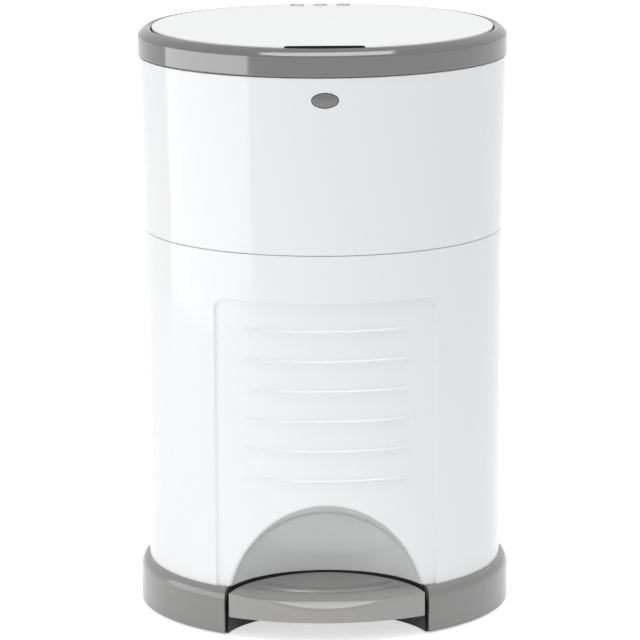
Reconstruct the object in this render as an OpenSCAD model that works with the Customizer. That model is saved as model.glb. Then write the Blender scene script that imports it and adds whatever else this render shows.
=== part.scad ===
// Nappy bin with a foot pedal, a lift-up lid, two trap doors under a funnel and
// an upper section that tilts back on a rear hinge to reach the bag of waste.
// Millimetres. The origin is on the floor under the middle of the bin, +Z is up
// and the pedal is on the -Y side. Every part is drawn where it sits at rest.

/* [Body] */
// Radius of the body at the seam between its two sections
body_r = 136.5; // [130:0.5:145]
// How much narrower the lower section is at its foot
lower_taper = 1.4; // [0.5:0.1:3]
// How far the upper section stands out over the lower one at the seam
seam_step = 0.2; // [0:0.1:0.5]
// How much the upper section widens towards its top
upper_flare = 2.8; // [1:0.1:4]
// Height of the seam
seam_z = 292; // [270:1:310]
// Height of the upper section's shell
upper_h = 132; // [122:1:145]
// Wall of the two white shells
shell_wall = 2.5; // [2.2:0.1:3]
// Gap between the two sections at the seam
seam_gap = 0.4; // [0.3:0.1:0.6]

/* [Foot] */
// How far the base ring stands out from the lower section
base_out = 6.4; // [5:0.1:8]
// Height of the base ring's top edge above the floor
foot_h = 36; // [34:0.5:40]
// Height of the base ring's rounded shoulder
shoulder_h = 9; // [6:0.5:11]
// Thickness of the base ring's wall
base_wall = 3; // [2.5:0.1:3.5]
// How far the base ring's top flange reaches inwards
flange_in = 7; // [5:0.5:10]
// Height of the rubber feet
rubber_h = 1.5; // [1:0.1:2.5]
// Radius of a rubber foot
rubber_r = 9; // [7:0.5:11]
// Thickness of the base pan
pan_t = 2.5; // [2:0.1:3]
// Distance of each base screw from the outside of the base
base_screw_in = 31.2; // [28:0.2:36]

/* [Foot well] */
// Radius of the upright back wall of the foot well
well_r = 78; // [72:0.5:82]
// Thickness of the black wall round the well
well_wall = 2; // [1.6:0.1:2.4]
// Radius of the arched roof of the foot well
arch_r = 72; // [66:0.5:75]
// How far the arch's centre lies below the top of the base
arch_drop = 8.5; // [6:0.5:12]
// Downward slope of the arched roof towards the back, in degrees
arch_slope = 18; // [14:0.5:22]

/* [Pedal] */
// How far the pedal's front stands out beyond the base
pedal_out = 1.5; // [1:0.1:4]
// Gap between the pedal and the wall of the well
pedal_gap = 2; // [1.5:0.1:3]
// Height of the pedal's underside
pedal_z = 15.5; // [14:0.5:17]
// How far the pedal's ends lie below the top of the base
pedal_down = 2; // [1.5:0.1:4]
// Radius of the dished top, seen from the front
pedal_dish_r = 740; // [650:10:900]
// How far the dish drops below the ends in the middle
pedal_dish_drop = 3.8; // [3:0.1:4.2]
// Length of the sloping front of the pedal
pedal_slope_l = 14; // [10:0.5:18]
// Slope of the pedal's front, in degrees
pedal_slope = 14; // [10:1:18]
// Wall of the pedal moulding
pedal_wall = 3; // [2.5:0.1:3.5]
// Distance of the first grip ridge behind the pedal's front edge
ridge_set = 24; // [20:0.5:28]
// Distance between the two grip ridges
ridge_pitch = 10; // [6:0.5:14]
// Width of a grip ridge
ridge_w = 1.4; // [1:0.1:2]
// How far a grip ridge stands above the pedal's top
ridge_h = 0.8; // [0.5:0.1:1.2]
// Width of the pedal's neck
neck_w = 62; // [54:1:66]
// Distance from the well's back wall to the pedal's axle
axle_in = 23.5; // [20:0.5:28]
// Height of the pedal's axle above the pedal's underside
axle_up = 4.5; // [4:0.1:6]
// Radius of the pedal's axle
axle_r = 3; // [2.5:0.1:3.5]
// Radius of the pedal's hub round the axle
hub_r = 6; // [5:0.1:6.5]
// Width of the steel lever under the floor
lever_w = 22; // [18:1:26]
// Thickness of the steel lever
lever_t = 3; // [2.5:0.1:3.5]

/* [Lower section] */
// Height of the compartment's floor above the base
floor_up = 4; // [3:0.5:8]
// Depth of the recessed front panel
panel_depth = 2; // [1.5:0.1:2.4]
// Half the width of the recessed front panel
panel_half_w = 82.5; // [78:0.5:88]
// Distance from the seam down to the recessed panel
panel_down = 36; // [28:1:44]
// Corner radius of the recessed panel
panel_corner = 8; // [6:0.5:10]
// Number of ribs on the panel
rib_count = 6; // [4:1:6]
// Distance from the panel's top to the highest rib
rib_down = 21.25; // [18:0.25:25]
// Distance between ribs
rib_pitch = 22.65; // [20:0.05:23.5]
// Half the length of a rib
rib_half_l = 62.5; // [56:0.5:68]
// Height of a rib
rib_h = 2.6; // [2:0.1:3.2]
// How far a rib stands out of the panel
rib_proud = 1.3; // [1:0.1:1.8]
// How far the locating lip rises above the seam
lip_h = 6; // [4:0.5:8]
// Thickness of the locating lip
lip_t = 2; // [1.8:0.1:2.4]

/* [Rear hinge] */
// How far outside the body the rear hinge's axis lies
hinge_out = 2; // [1.5:0.1:3]
// Radius of the rear hinge's barrels
hinge_barrel_r = 4.5; // [4:0.1:5]
// Radius of the rear hinge's pin
hinge_pin_r = 2; // [1.8:0.1:2.2]
// Half the length of the middle knuckle
knuckle_half_l = 12; // [10:0.5:14]
// Length of each outer knuckle
knuckle_l = 16; // [12:0.5:18]

/* [Rim] */
// How far the rim ring stands out from the upper shell
rim_out = 0.5; // [0.1:0.1:1.5]
// Width of the band from the rim's outside to its lip
rim_band = 8.4; // [7.5:0.1:10]
// Height of the rim ring's upright face
rim_face_h = 14; // [12:0.5:16]
// Height of the rounded corner of the rim ring
rim_round_h = 6.6; // [6:0.1:7.5]
// Gap between the upper shell and the rim ring
rim_gap = 0.6; // [0.4:0.1:0.8]
// Wall of the rim ring
rim_wall = 2.5; // [2.2:0.1:3]
// How far the rim's skirt reaches down inside the shell
rim_skirt = 7; // [6:0.5:8]
// How far the rim's lip hangs down
rim_lip_h = 9; // [7:0.5:10]
// Width of the flange's seat on the shelf
shelf_w = 9.5; // [8:0.5:11]
// Thickness of the shelf
shelf_t = 2.5; // [2:0.1:3]

/* [Button and latch] */
// Distance from the top of the upper shell down to the release button
button_down = 16.4; // [14:0.2:20]
// Width of the release button
button_w = 19.5; // [18:0.1:22]
// Height of the release button's face
button_h = 11; // [10:0.1:12]
// Radius of the button's narrow ends
button_end_r = 3.8; // [3.4:0.1:4.2]
// Gap round the button
button_gap = 0.35; // [0.3:0.05:0.5]
// How far the button stands out of the shell
button_proud = 0.4; // [0:0.1:1]
// Depth of the button's head
button_depth = 8; // [7:0.5:9]
// Height of the latch lever's pin above the seam
latch_pin_up = 58; // [50:1:64]
// Distance of the latch lever's pin from the outside of the body
latch_in = 10.5; // [9.5:0.1:12]
// Radius of the latch lever's pin
latch_pin_r = 1.5; // [1.2:0.1:1.8]
// Thickness of the latch lever
latch_t = 3; // [2.5:0.1:3.4]
// Width of the latch lever
latch_w = 10; // [8:0.5:12]
// How far the latch's hook reaches towards the strike
hook_reach = 2; // [1.8:0.1:2.4]
// Gap between the hook and the strike that it catches
hook_gap = 0.9; // [0.8:0.05:1.1]

/* [Lid] */
// Gap between the lid and the rim's lip
lid_gap = 1.1; // [0.8:0.1:1.5]
// How far the lid stands above the rim
lid_proud = 0.8; // [0.4:0.1:2]
// Thickness of the lid's plate
lid_t = 3; // [2.5:0.1:3.5]
// Depth of the lid's edge
lid_edge_h = 6.5; // [5:0.5:8]
// Width of the finger notch
notch_w = 59; // [50:1:66]
// Depth of the finger notch, from the lid's edge
notch_depth = 12; // [10:0.5:14]
// Corner radius of the finger notch
notch_corner = 7; // [5:0.5:9]
// Distance of the lid's pin from the rim's lip
lid_pin_in = 7.1; // [6.8:0.1:9]
// Depth of the lid's pin below the lid's top
lid_pin_drop = 7; // [6.5:0.1:7.5]
// Radius of the lid's pin
lid_pin_r = 2; // [1.8:0.1:2.2]
// Radius of the barrels on the lid's pin
lid_barrel_r = 3.6; // [3.4:0.1:3.8]
// Distance of each lid arm from the middle
lid_arm_at = 18; // [17:0.5:19]
// Width of each lid arm
lid_arm_w = 8; // [7:0.5:8.5]
// Distance from the lid's pin forward to the front of the hinge cover
cover_fwd = 10.5; // [10:0.1:12]
// Gap between the lid and the hinge cover
cover_gap = 1; // [0.8:0.1:1.4]
// Length of the finger that opens the lid
finger_l = 14; // [13:0.5:15]
// How far below level the finger points at rest, in degrees
finger_drop = 35; // [33:1:37]

/* [Funnel and trap doors] */
// How far the flange's edge lies inside the lid's
flange_set = 1; // [0.5:0.1:2]
// Width of the funnel's flange
flange_w = 23.5; // [22:0.5:27]
// Thickness of the funnel's flange
flange_t = 4; // [3.5:0.1:4.5]
// How far the funnel's cone draws in
cone_in = 36; // [30:0.5:40]
// Depth of the funnel's cone
funnel_h = 34.5; // [32:0.5:37]
// Wall of the funnel
funnel_wall = 2.2; // [2:0.1:2.6]
// Length of the straight collar below the cone
collar_h = 4; // [3:0.5:6]
// Width of the rubber gasket
gasket_w = 20.5; // [18:0.5:22]
// Thickness of the rubber gasket
gasket_t = 2.5; // [2:0.1:2.8]
// How far the inner lid's rim overlaps the gasket
seal_lap = 6.5; // [5:0.5:8]
// How far the trap doors reach beyond the funnel's outlet
door_lap = 3; // [2:0.1:4]
// Thickness of a trap door
door_t = 2.5; // [2:0.1:3]
// Distance from a door's round edge to its shaft
shaft_out = 4; // [3.5:0.1:6]
// Radius of a door's shaft
door_shaft_r = 3; // [2.6:0.1:3.2]
// Height of the door's shafts below the funnel's collar
door_drop = 4; // [3.5:0.1:5]
// Gap between the two doors
door_gap = 0.8; // [0.6:0.1:1.2]
// Distance from the door's shafts to the inside of the sleeve
sleeve_out = 15; // [14:0.5:18]
// Wall of the throat sleeve
sleeve_wall = 2.5; // [2:0.1:3]
// Height of the bottom of the throat sleeve above the seam
sleeve_up = 20; // [16:1:24]
// Length of a door's crank
crank_l = 17.4; // [16.5:0.1:18]
// How far below level a crank points at rest, in degrees
crank_drop = 31; // [30:0.5:32]
// Thickness of a crank
crank_t = 4; // [3:0.5:5]
// Radius of the round end of a crank
crank_end_r = 2.5; // [2:0.1:3]

/* [Film cassette] */
// Gap between the cassette tray and the push rod
tray_gap = 2.5; // [2:0.1:4]
// Thickness of the tray
tray_t = 2.5; // [2:0.1:3]
// Height of the tray's upturned edge
tray_edge_h = 10; // [6:0.5:16]
// Gap from the sleeve to the pleated film
film_gap = 5; // [4:0.5:7]
// Gap from the pleated film to the outside of the tray
film_in = 3.5; // [3:0.5:6]
// Gap from the pleated film up to the door yoke
film_clear = 3.6; // [2:0.1:12]

/* [Push rods] */
// Width of the push rods
rod_w = 12; // [10:0.5:13]
// Thickness of the push rods
rod_t = 5; // [4:0.5:5.5]
// Distance of the rods' middle from the outside of the body
rod_in = 12; // [11.5:0.1:14]
// Gap between a rod and what guides it
rod_gap = 0.5; // [0.4:0.1:0.8]
// Wall of the lower rod's channel
channel_wall = 2; // [1.6:0.1:2.4]
// Gap between parts that push on each other
push_gap = 0.4; // [0.3:0.1:0.5]
// Width of the yoke's band
yoke_w = 8; // [7:0.5:9]
// Depth of the yoke's band
yoke_h = 6; // [5:0.5:7]
// Half the angle that the yoke spans, in degrees
yoke_half_angle = 62; // [60:1:64]

/* [Hidden] */

fine = 160;         // facets of the large round forms in a preview
small = 48;         // facets of the small round forms in a preview
over = 1;           // how far a cutter runs past the face it cuts
fit_gap = 0.05;     // radial clearance of a pin in the hole it turns in
move_gap = 0.5;     // clearance between parts that pass each other
side_gap = 0.5;     // end clearance beside a hub or a knuckle

// Radii of the body, from the foot to the lid
lower_top_r = body_r;
lower_foot_r = body_r - lower_taper;
upper_foot_r = body_r + seam_step;
upper_top_r = upper_foot_r + upper_flare;
base_r = lower_foot_r + base_out;
rim_r = upper_top_r + rim_out;
rim_lip_r = rim_r - rim_band;
lid_r = rim_lip_r - lid_gap;
flange_r = lid_r - flange_set;
shelf_r = flange_r - shelf_w;
gasket_r = flange_r - gasket_w;
inner_lid_r = gasket_r + seal_lap;
funnel_mouth_r = flange_r - flange_w;
funnel_out_r = funnel_mouth_r - cone_in;
door_r = funnel_out_r + door_lap;
door_shaft_at = door_r + shaft_out;
sleeve_r = door_shaft_at + sleeve_out;
sleeve_out_r = sleeve_r + sleeve_wall;

// Places before and behind the axis
well_fwd = base_r;
arch_fwd = lower_foot_r - panel_depth;
pedal_front_r = base_r + pedal_out;
pedal_slope_fwd = pedal_front_r - pedal_slope_l;
well_back_y = well_r - well_fwd;
axle_fwd = -well_back_y - axle_in;
hinge_back = body_r + hinge_out;
rod_back = body_r - rod_in;
rod_y0 = rod_back - rod_t / 2;
rod_y1 = rod_back + rod_t / 2;
latch_fwd = body_r - latch_in;
lid_pin_back = rim_lip_r - lid_pin_in;
cover_back = lid_pin_back - cover_fwd;
notch_fwd = lid_r - notch_depth;
tray_r = rod_y0 - tray_gap;
film_r = tray_r - film_in;

// Heights
band_h = foot_h - shoulder_h;
arch_z = foot_h - arch_drop;
pedal_top_z = foot_h - pedal_down;
axle_z = pedal_z + axle_up;
floor_z = foot_h + floor_up;
panel_top_z = seam_z - panel_down;
rib_top_z = panel_top_z - rib_down;
upper_top_z = seam_z + upper_h;
button_z = upper_top_z - button_down;
latch_pin_z = seam_z + latch_pin_up;
sleeve_z = seam_z + sleeve_up;
rim_z = upper_top_z + rim_gap;
rim_top_z = rim_z + rim_face_h + rim_round_h;
lid_top_z = rim_top_z + lid_proud;

// Turns a shape so that its Z runs along X, along Y, or from the front to the back
module along_x() { rotate([0, 90, 0]) children(); }
module along_y() { rotate([-90, 0, 0]) children(); }

// A straight tube or a cone-shaped one between two heights
module tube(r_out, r_in, h) {
  difference() {
    cylinder(r = r_out, h = h, $fn = fine);
    translate([0, 0, -over]) cylinder(r = r_in, h = h + 2 * over, $fn = fine);
  }
}

// A box from its lowest corner to its highest
module block(low, high) {
  translate(low) cube(high - low);
}

// Rounded rectangle with its middle at the origin
module rounded_rect(w, h, r) {
  square([w - 2 * r, h], center = true);
  square([w, h - 2 * r], center = true);
  for (x = [-1, 1], y = [-1, 1])
    translate([x * (w / 2 - r), y * (h / 2 - r)]) circle(r = r, $fn = small);
}

// Points on a quarter of an ellipse round a corner, from its side to its top
function corner_arc(centre, rx, rz, step = 15) =
  [for (a = [0 : step : 90]) [centre[0] + rx * cos(a), centre[1] + rz * sin(a)]];

// ---------------------------------------------------------------- lower section

function lower_r(z) =
  lower_foot_r + (lower_top_r - lower_foot_r) * (z - foot_h) / (seam_z - foot_h);

function upper_r(z) =
  upper_foot_r + (upper_top_r - upper_foot_r) * (z - seam_z) / (upper_top_z - seam_z);

// The lower section's tapered form, grown outwards by a distance
module lower_form(grow, z0 = foot_h, z1 = seam_z) {
  translate([0, 0, z0])
    cylinder(r1 = lower_r(z0) + grow, r2 = lower_r(z1) + grow, h = z1 - z0, $fn = fine);
}

// The upper section's tapered form, grown outwards by a distance
module upper_form(grow, z0 = seam_z + seam_gap, z1 = upper_top_z) {
  translate([0, 0, z0])
    cylinder(r1 = upper_r(z0) + grow, r2 = upper_r(z1) + grow, h = z1 - z0, $fn = fine);
}

// The foot well's upright round wall, grown outwards by a distance
module well_form(grow, z0, z1) {
  translate([0, -well_fwd, z0]) cylinder(r = well_r + grow, h = z1 - z0, $fn = fine);
}

arch_l = 200;       // length of the arch's cutter
module arch_form(grow) {
  translate([0, -arch_fwd, arch_z])
    rotate([-90 - arch_slope, 0, 0])
      translate([0, 0, -arch_l / 2]) cylinder(r = arch_r + grow, h = arch_l, $fn = fine);
}

// The hollow over the pedal: an upright wall under a sloping arched roof
module scoop_form(grow) {
  intersection() {
    well_form(grow, foot_h - over, foot_h + arch_r + arch_z);
    arch_form(grow);
  }
}

module panel_cutter(half_w, z0, z1, corner) {
  h = z1 - z0;
  along_front() translate([0, (z0 + z1) / 2])
    rounded_rect(2 * half_w, h, corner);
}

// Extrudes an outline drawn in X and Z forwards, through the front wall
module along_front() {
  rotate([90, 0, 0]) linear_extrude(height = base_r + 2 * over) children();
}

module panel_shape(grow) {
  panel_cutter(panel_half_w + grow, foot_h - over - panel_corner - grow, panel_top_z + grow,
    panel_corner + grow);
}

module hinge_barrel(r, x0, x1) {
  translate([x0, hinge_back, seam_z]) along_x() cylinder(r = r, h = x1 - x0, $fn = small);
}

outer_knuckle_x0 = knuckle_half_l + side_gap;
outer_knuckle_x1 = outer_knuckle_x0 + knuckle_l;
knuckle_web = 9;    // how far a knuckle's web runs along its shell's wall
module lower_knuckles() {
  for (side = [0, 1]) mirror([side, 0, 0]) {
    hinge_barrel(hinge_barrel_r, outer_knuckle_x0, outer_knuckle_x1);
    block([outer_knuckle_x0, hinge_back - hinge_barrel_r, seam_z - knuckle_web],
      [outer_knuckle_x1, hinge_back, seam_z]);
  }
}

boss_r = 5;         // radius of a screw boss under the compartment's floor
screw_r = 1.75;     // radius of a screw's thread
screw_head_r = 3.5;
screw_head_h = 1.8;
screw_bite = 12;    // how far a base screw goes into its boss
module base_corners() {
  for (a = [45 : 90 : 315])
    rotate([0, 0, a]) translate([base_r - base_screw_in, 0, 0]) children();
}

lip_r = lower_top_r - shell_wall - move_gap;   // outer radius of the locating lip
lip_root = 8;       // how far the lip's root runs down the shell
module locating_lip() {
  translate([0, 0, seam_z - lip_root])
    tube(lower_top_r - shell_wall / 2, lip_r - lip_t, lip_root - over);
  translate([0, 0, seam_z - lip_root]) tube(lip_r, lip_r - lip_t, lip_root + lip_h);
}

module lower_wall() {
  difference() {
    lower_form(0);
    lower_form(-shell_wall, foot_h - over, seam_z + over);
  }
  intersection() {
    difference() {
      lower_form(-shell_wall / 2);
      lower_form(-shell_wall - panel_depth, foot_h - over, seam_z + over);
    }
    panel_shape(shell_wall);
  }
}

module lower_shell_solid() {
  lower_wall();
  locating_lip();
  translate([0, 0, floor_z])
    cylinder(r = lower_foot_r - shell_wall / 2, h = shell_wall, $fn = fine);
  intersection() {
    scoop_form(shell_wall);
    lower_form(-panel_depth);
  }
  lower_knuckles();
  base_corners() translate([0, 0, rubber_h + pan_t])
    cylinder(r = boss_r, h = floor_z - rubber_h - pan_t + over, $fn = small);
}

module ribs() {
  intersection() {
    difference() {
      lower_form(rib_proud - panel_depth);
      lower_form(-panel_depth - over, foot_h - over, seam_z + over);
    }
    for (i = [0 : rib_count - 1])
      panel_cutter(rib_half_l, rib_top_z - i * rib_pitch - rib_h / 2,
        rib_top_z - i * rib_pitch + rib_h / 2, rib_h / 2 - 0.05);
  }
}

module lower_shell() {
  color("white") {
    difference() {
      lower_shell_solid();
      intersection() {
        difference() {
          lower_form(over);
          lower_form(-panel_depth, foot_h - over, seam_z + over);
        }
        panel_shape(0);
      }
      scoop_form(0);
      hinge_barrel(hinge_barrel_r + push_gap, -outer_knuckle_x0, outer_knuckle_x0);
      hinge_barrel(hinge_pin_r, -outer_knuckle_x1 - over, outer_knuckle_x1 + over);
      block([-rod_w / 2 - rod_gap, rod_y0 - rod_gap, floor_z - over],
        [rod_w / 2 + rod_gap, rod_y1 + rod_gap, floor_z + shell_wall + over]);
      base_corners() translate([0, 0, rubber_h])
        cylinder(r = screw_r, h = pan_t + screw_bite, $fn = small);
      channel_screw_places() cylinder(r = screw_r, h = channel_screw_l + fit_gap, $fn = small);
    }
    ribs();
  }
}

// ---------------------------------------------------------------- foot

module base_ring() {
  top_r = lower_foot_r + 0.2;
  color("darkgray") difference() {
    rotate_extrude($fn = fine) polygon(concat(
      [[base_r, rubber_h]],
      corner_arc([top_r, band_h], base_r - top_r, foot_h - band_h),
      [[top_r - flange_in, foot_h], [top_r - flange_in, foot_h - base_wall],
       [top_r - base_wall, foot_h - base_wall], [base_r - base_wall, band_h - base_wall],
       [base_r - base_wall, rubber_h]]));
    well_form(well_wall, 0, foot_h + over);
  }
}

module base_pan() {
  pan_r = base_r - base_wall;
  color([0.1, 0.1, 0.11]) difference() {
    union() {
      difference() {
        translate([0, 0, rubber_h]) cylinder(r = pan_r, h = pan_t, $fn = fine);
        well_form(well_wall / 2, 0, foot_h);
      }
      intersection() {
        difference() {
          well_form(well_wall, rubber_h, foot_h);
          well_form(0, 0, foot_h + over);
        }
        translate([0, 0, rubber_h])
          cylinder(r1 = pan_r, r2 = lower_foot_r - base_wall, h = foot_h, $fn = fine);
      }
      for (side = [0, 1]) mirror([side, 0, 0]) axle_ear();
    }
    block([-neck_w / 2 - pedal_gap, -well_fwd, pedal_z - window_drop],
      [neck_w / 2 + pedal_gap, -axle_fwd - ear_half, pedal_top_z]);
    axle_line(axle_r);
    base_corners() {
      cylinder(r = screw_head_r, h = rubber_h + screw_head_h, $fn = small);
      cylinder(r = screw_r, h = rubber_h + pan_t + over, $fn = small);
    }
  }
}

window_drop = 6;    // room under the pedal's neck in the well's wall
ear_t = 4;          // thickness of each ear that holds the pedal's axle
ear_half = 6;       // half the width of each ear
module axle_ear() {
  block([neck_w / 2 + side_gap, -axle_fwd - ear_half, rubber_h],
    [neck_w / 2 + side_gap + ear_t, -axle_fwd + ear_half, axle_z]);
  translate([neck_w / 2 + side_gap, -axle_fwd, axle_z])
    along_x() cylinder(r = ear_half, h = ear_t, $fn = small);
}

module axle_line(r) {
  reach = neck_w / 2 + side_gap + ear_t + over;
  translate([-reach, -axle_fwd, axle_z]) along_x() cylinder(r = r, h = 2 * reach, $fn = small);
}

module rubber_feet() {
  color([0.15, 0.15, 0.15]) base_corners() cylinder(r = rubber_r, h = rubber_h, $fn = small);
}

module screw(length, head_r = screw_head_r, thread_r = screw_r) {
  cylinder(r = head_r, h = screw_head_h, $fn = small);
  cylinder(r = thread_r, h = screw_head_h + length, $fn = small);
}

module base_screws() {
  color("silver") base_corners() translate([0, 0, rubber_h])
    screw(pan_t + screw_bite - screw_head_h);
}

module pedal_axle() {
  head = 1.2;       // thickness of the pressed-on end caps
  reach = neck_w / 2 + side_gap + ear_t;
  color("silver") {
    translate([-reach - head, -axle_fwd, axle_z])
      along_x() cylinder(r = axle_r, h = 2 * (reach + head), $fn = small);
    for (side = [0, 1]) mirror([side, 0, 0])
      translate([reach, -axle_fwd, axle_z]) along_x()
        cylinder(r = axle_r + 1.5, h = head, $fn = small);
  }
}

// ---------------------------------------------------------------- pedal

// The pedal's lens-shaped outline, shrunk by a distance, between two heights
module pedal_lens(shrink, z0, z1) {
  intersection() {
    translate([0, 0, z0]) cylinder(r = pedal_front_r - shrink, h = z1 - z0, $fn = fine);
    well_form(-pedal_gap - shrink, z0, z1);
  }
}

// The pedal with its dished top and sloping front, raised by a distance
module pedal_blank(raise) {
  low_z = pedal_top_z - pedal_dish_drop + raise;
  difference() {
    pedal_lens(0, pedal_z, pedal_top_z + raise);
    translate([0, -pedal_front_r - over, low_z + pedal_dish_r])
      along_y() cylinder(r = pedal_dish_r, h = pedal_front_r, $fn = 4 * fine);
    translate([0, -pedal_slope_fwd, low_z]) rotate([pedal_slope, 0, 0])
      translate([-pedal_front_r, -pedal_front_r, 0]) cube([2 * pedal_front_r, pedal_front_r, foot_h]);
  }
}

pedal_rib_t = 2.5;  // thickness of the ribs under the pedal
pedal_rib_pitch = 21;
module pedal() {
  roof_z = pedal_top_z - pedal_dish_drop - pedal_wall - 2;
  color("darkgray") difference() {
    union() {
      difference() {
        pedal_blank(0);
        pedal_lens(pedal_wall, pedal_z - over, roof_z);
      }
      intersection() {
        pedal_blank(ridge_h);
        for (r = [pedal_front_r - ridge_set, pedal_front_r - ridge_set - ridge_pitch])
          translate([0, 0, roof_z]) tube(r + ridge_w / 2, r - ridge_w / 2, foot_h);
      }
      intersection() {
        pedal_lens(pedal_wall / 2, pedal_z, roof_z + over);
        for (x = [-2 : 2])
          block([x * pedal_rib_pitch - pedal_rib_t / 2, -pedal_front_r, pedal_z],
            [x * pedal_rib_pitch + pedal_rib_t / 2, -axle_fwd, roof_z + over]);
      }
      block([-neck_w / 2, well_back_y - pedal_gap - rivet_room, pedal_z],
        [neck_w / 2, -axle_fwd, pedal_top_z - pedal_dish_drop]);
      translate([-neck_w / 2, -axle_fwd, axle_z]) along_x()
        cylinder(r = hub_r, h = neck_w, $fn = small);
    }
    block([-neck_w / 2 - over, -axle_fwd - hub_r, 0], [neck_w / 2 + over, 0, pedal_z]);
    axle_line(axle_r + fit_gap);
    rivet_places() cylinder(r = rivet_r, h = rivet_l, $fn = small);
  }
}

rivet_r = 2.5;
rivet_l = 8;        // how far a rivet goes up into the pedal
rivet_room = 20;    // length of the solid neck in front of the well's wall
rivet_x = 7;        // distance of each rivet from the middle
module rivet_places() {
  for (x = [-1, 1])
    translate([x * rivet_x, well_back_y - pedal_gap - rivet_room / 2, pedal_z]) children();
}

lever_back = rod_y1;          // rear end of the lever
module pedal_lever() {
  front = well_back_y - pedal_gap - rivet_room + 2;
  color("lightsteelblue") difference() {
    union() {
      block([-lever_w / 2, front, pedal_z - lever_t], [lever_w / 2, lever_back, pedal_z]);
      for (x = [-1, 1])
        block([x * (lever_w / 2 - 1) - 1, axle_clear_y, pedal_z - 3 * lever_t + 1],
          [x * (lever_w / 2 - 1) + 1, lever_back - 20, pedal_z - lever_t]);
    }
    rivet_places() translate([0, 0, -lever_t - over])
      cylinder(r = rivet_r, h = lever_t + 2 * over, $fn = small);
  }
}
axle_clear_y = -axle_fwd + 15;  // where the lever's stiffening flanges start

module lever_rivets() {
  head_h = 1.4;
  color("silver") rivet_places() {
    translate([0, 0, -lever_t]) cylinder(r = rivet_r, h = lever_t + rivet_l, $fn = small);
    translate([0, 0, -lever_t - head_h]) cylinder(r = 2 * rivet_r, h = head_h, $fn = small);
  }
}

// ---------------------------------------------------------------- push rods

module lower_push_rod() {
  foot_r = 4;       // radius of the rod's rounded foot
  z0 = pedal_z + push_gap;
  color("gray") {
    block([-rod_w / 2, rod_y0, z0 + foot_r], [rod_w / 2, rod_y1, seam_z]);
    intersection() {
      translate([-rod_w / 2, rod_back, z0 + foot_r])
        along_x() cylinder(r = foot_r, h = rod_w, $fn = small);
      block([-rod_w, rod_y0, z0], [rod_w, rod_y1, z0 + 2 * foot_r]);
    }
  }
}

module rod_channel() {
  x1 = rod_w / 2 + rod_gap + channel_wall;
  color("whitesmoke") difference() {
    intersection() {
      union() {
        block([-x1, rod_y0 - rod_gap - channel_wall, floor_z + shell_wall],
          [x1, base_r, seam_z - lip_root]);
        for (z = channel_screw_z)
          block([-x1 - tab_w, tab_y, z - tab_w / 2], [x1 + tab_w, base_r, z + tab_w / 2]);
      }
      lower_form(-shell_wall);
    }
    block([-rod_w / 2 - rod_gap, rod_y0 - rod_gap, floor_z],
      [rod_w / 2 + rod_gap, base_r, seam_z]);
    channel_screw_places() translate([0, 0, -over]) cylinder(r = screw_r, h = rod_in, $fn = small);
  }
}

tab_w = 10;         // size of the channel's screw tabs
tab_y = rod_y1 + 2;
channel_screw_z = [floor_z + 50, seam_z - 52];
channel_screw_l = 4.5;
module channel_screw_places() {
  for (z = channel_screw_z, x = [-1, 1])
    translate([x * (rod_w / 2 + rod_gap + channel_wall + tab_w / 2), tab_y, z])
      along_y() children();
}

module channel_screws() {
  color("silver") channel_screw_places() {
    cylinder(r = screw_r, h = channel_screw_l, $fn = small);
    translate([0, 0, -screw_head_h]) cylinder(r = screw_head_r, h = screw_head_h, $fn = small);
  }
}

module hinge_pin() {
  color("silver") hinge_barrel(hinge_pin_r, -outer_knuckle_x1, outer_knuckle_x1);
}

// ---------------------------------------------------------------- upper section

// Outline of the button: two large arcs closed by two small ones, grown by a distance
module button_outline(grow) {
  a = button_w / 2 + grow;
  b = button_h / 2 + grow;
  e = button_end_r + grow;
  big = ((a - e) * (a - e) + b * b - e * e) / (2 * (b - e));
  split = big * (a - e) / sqrt((a - e) * (a - e) + (big - b) * (big - b));
  intersection() {
    translate([0, b - big]) circle(r = big, $fn = fine);
    translate([0, big - b]) circle(r = big, $fn = fine);
    square([2 * split, 4 * b], center = true);
  }
  for (x = [-1, 1]) translate([x * (a - e), 0]) circle(r = e, $fn = small);
}

module button_prism(grow, y0, y1) {
  translate([0, y1, button_z]) rotate([90, 0, 0])
    linear_extrude(height = y1 - y0) button_outline(grow);
}

module upper_knuckle() {
  hinge_barrel(hinge_barrel_r, -knuckle_half_l, knuckle_half_l);
  block([-knuckle_half_l, hinge_back - hinge_barrel_r, seam_z + seam_gap],
    [knuckle_half_l, hinge_back, seam_z + knuckle_web]);
}

module upper_shell() {
  color("white") difference() {
    union() {
      difference() {
        upper_form(0);
        upper_form(-shell_wall, seam_z, upper_top_z + over);
      }
      upper_knuckle();
    }
    for (side = [0, 1]) mirror([side, 0, 0])
      hinge_barrel(hinge_barrel_r + push_gap, knuckle_half_l, outer_knuckle_x1 + side_gap);
    hinge_barrel(hinge_pin_r + fit_gap, -knuckle_half_l - over, knuckle_half_l + over);
    button_prism(button_gap, -rim_r - over, -rim_r + button_depth);
  }
}

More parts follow.
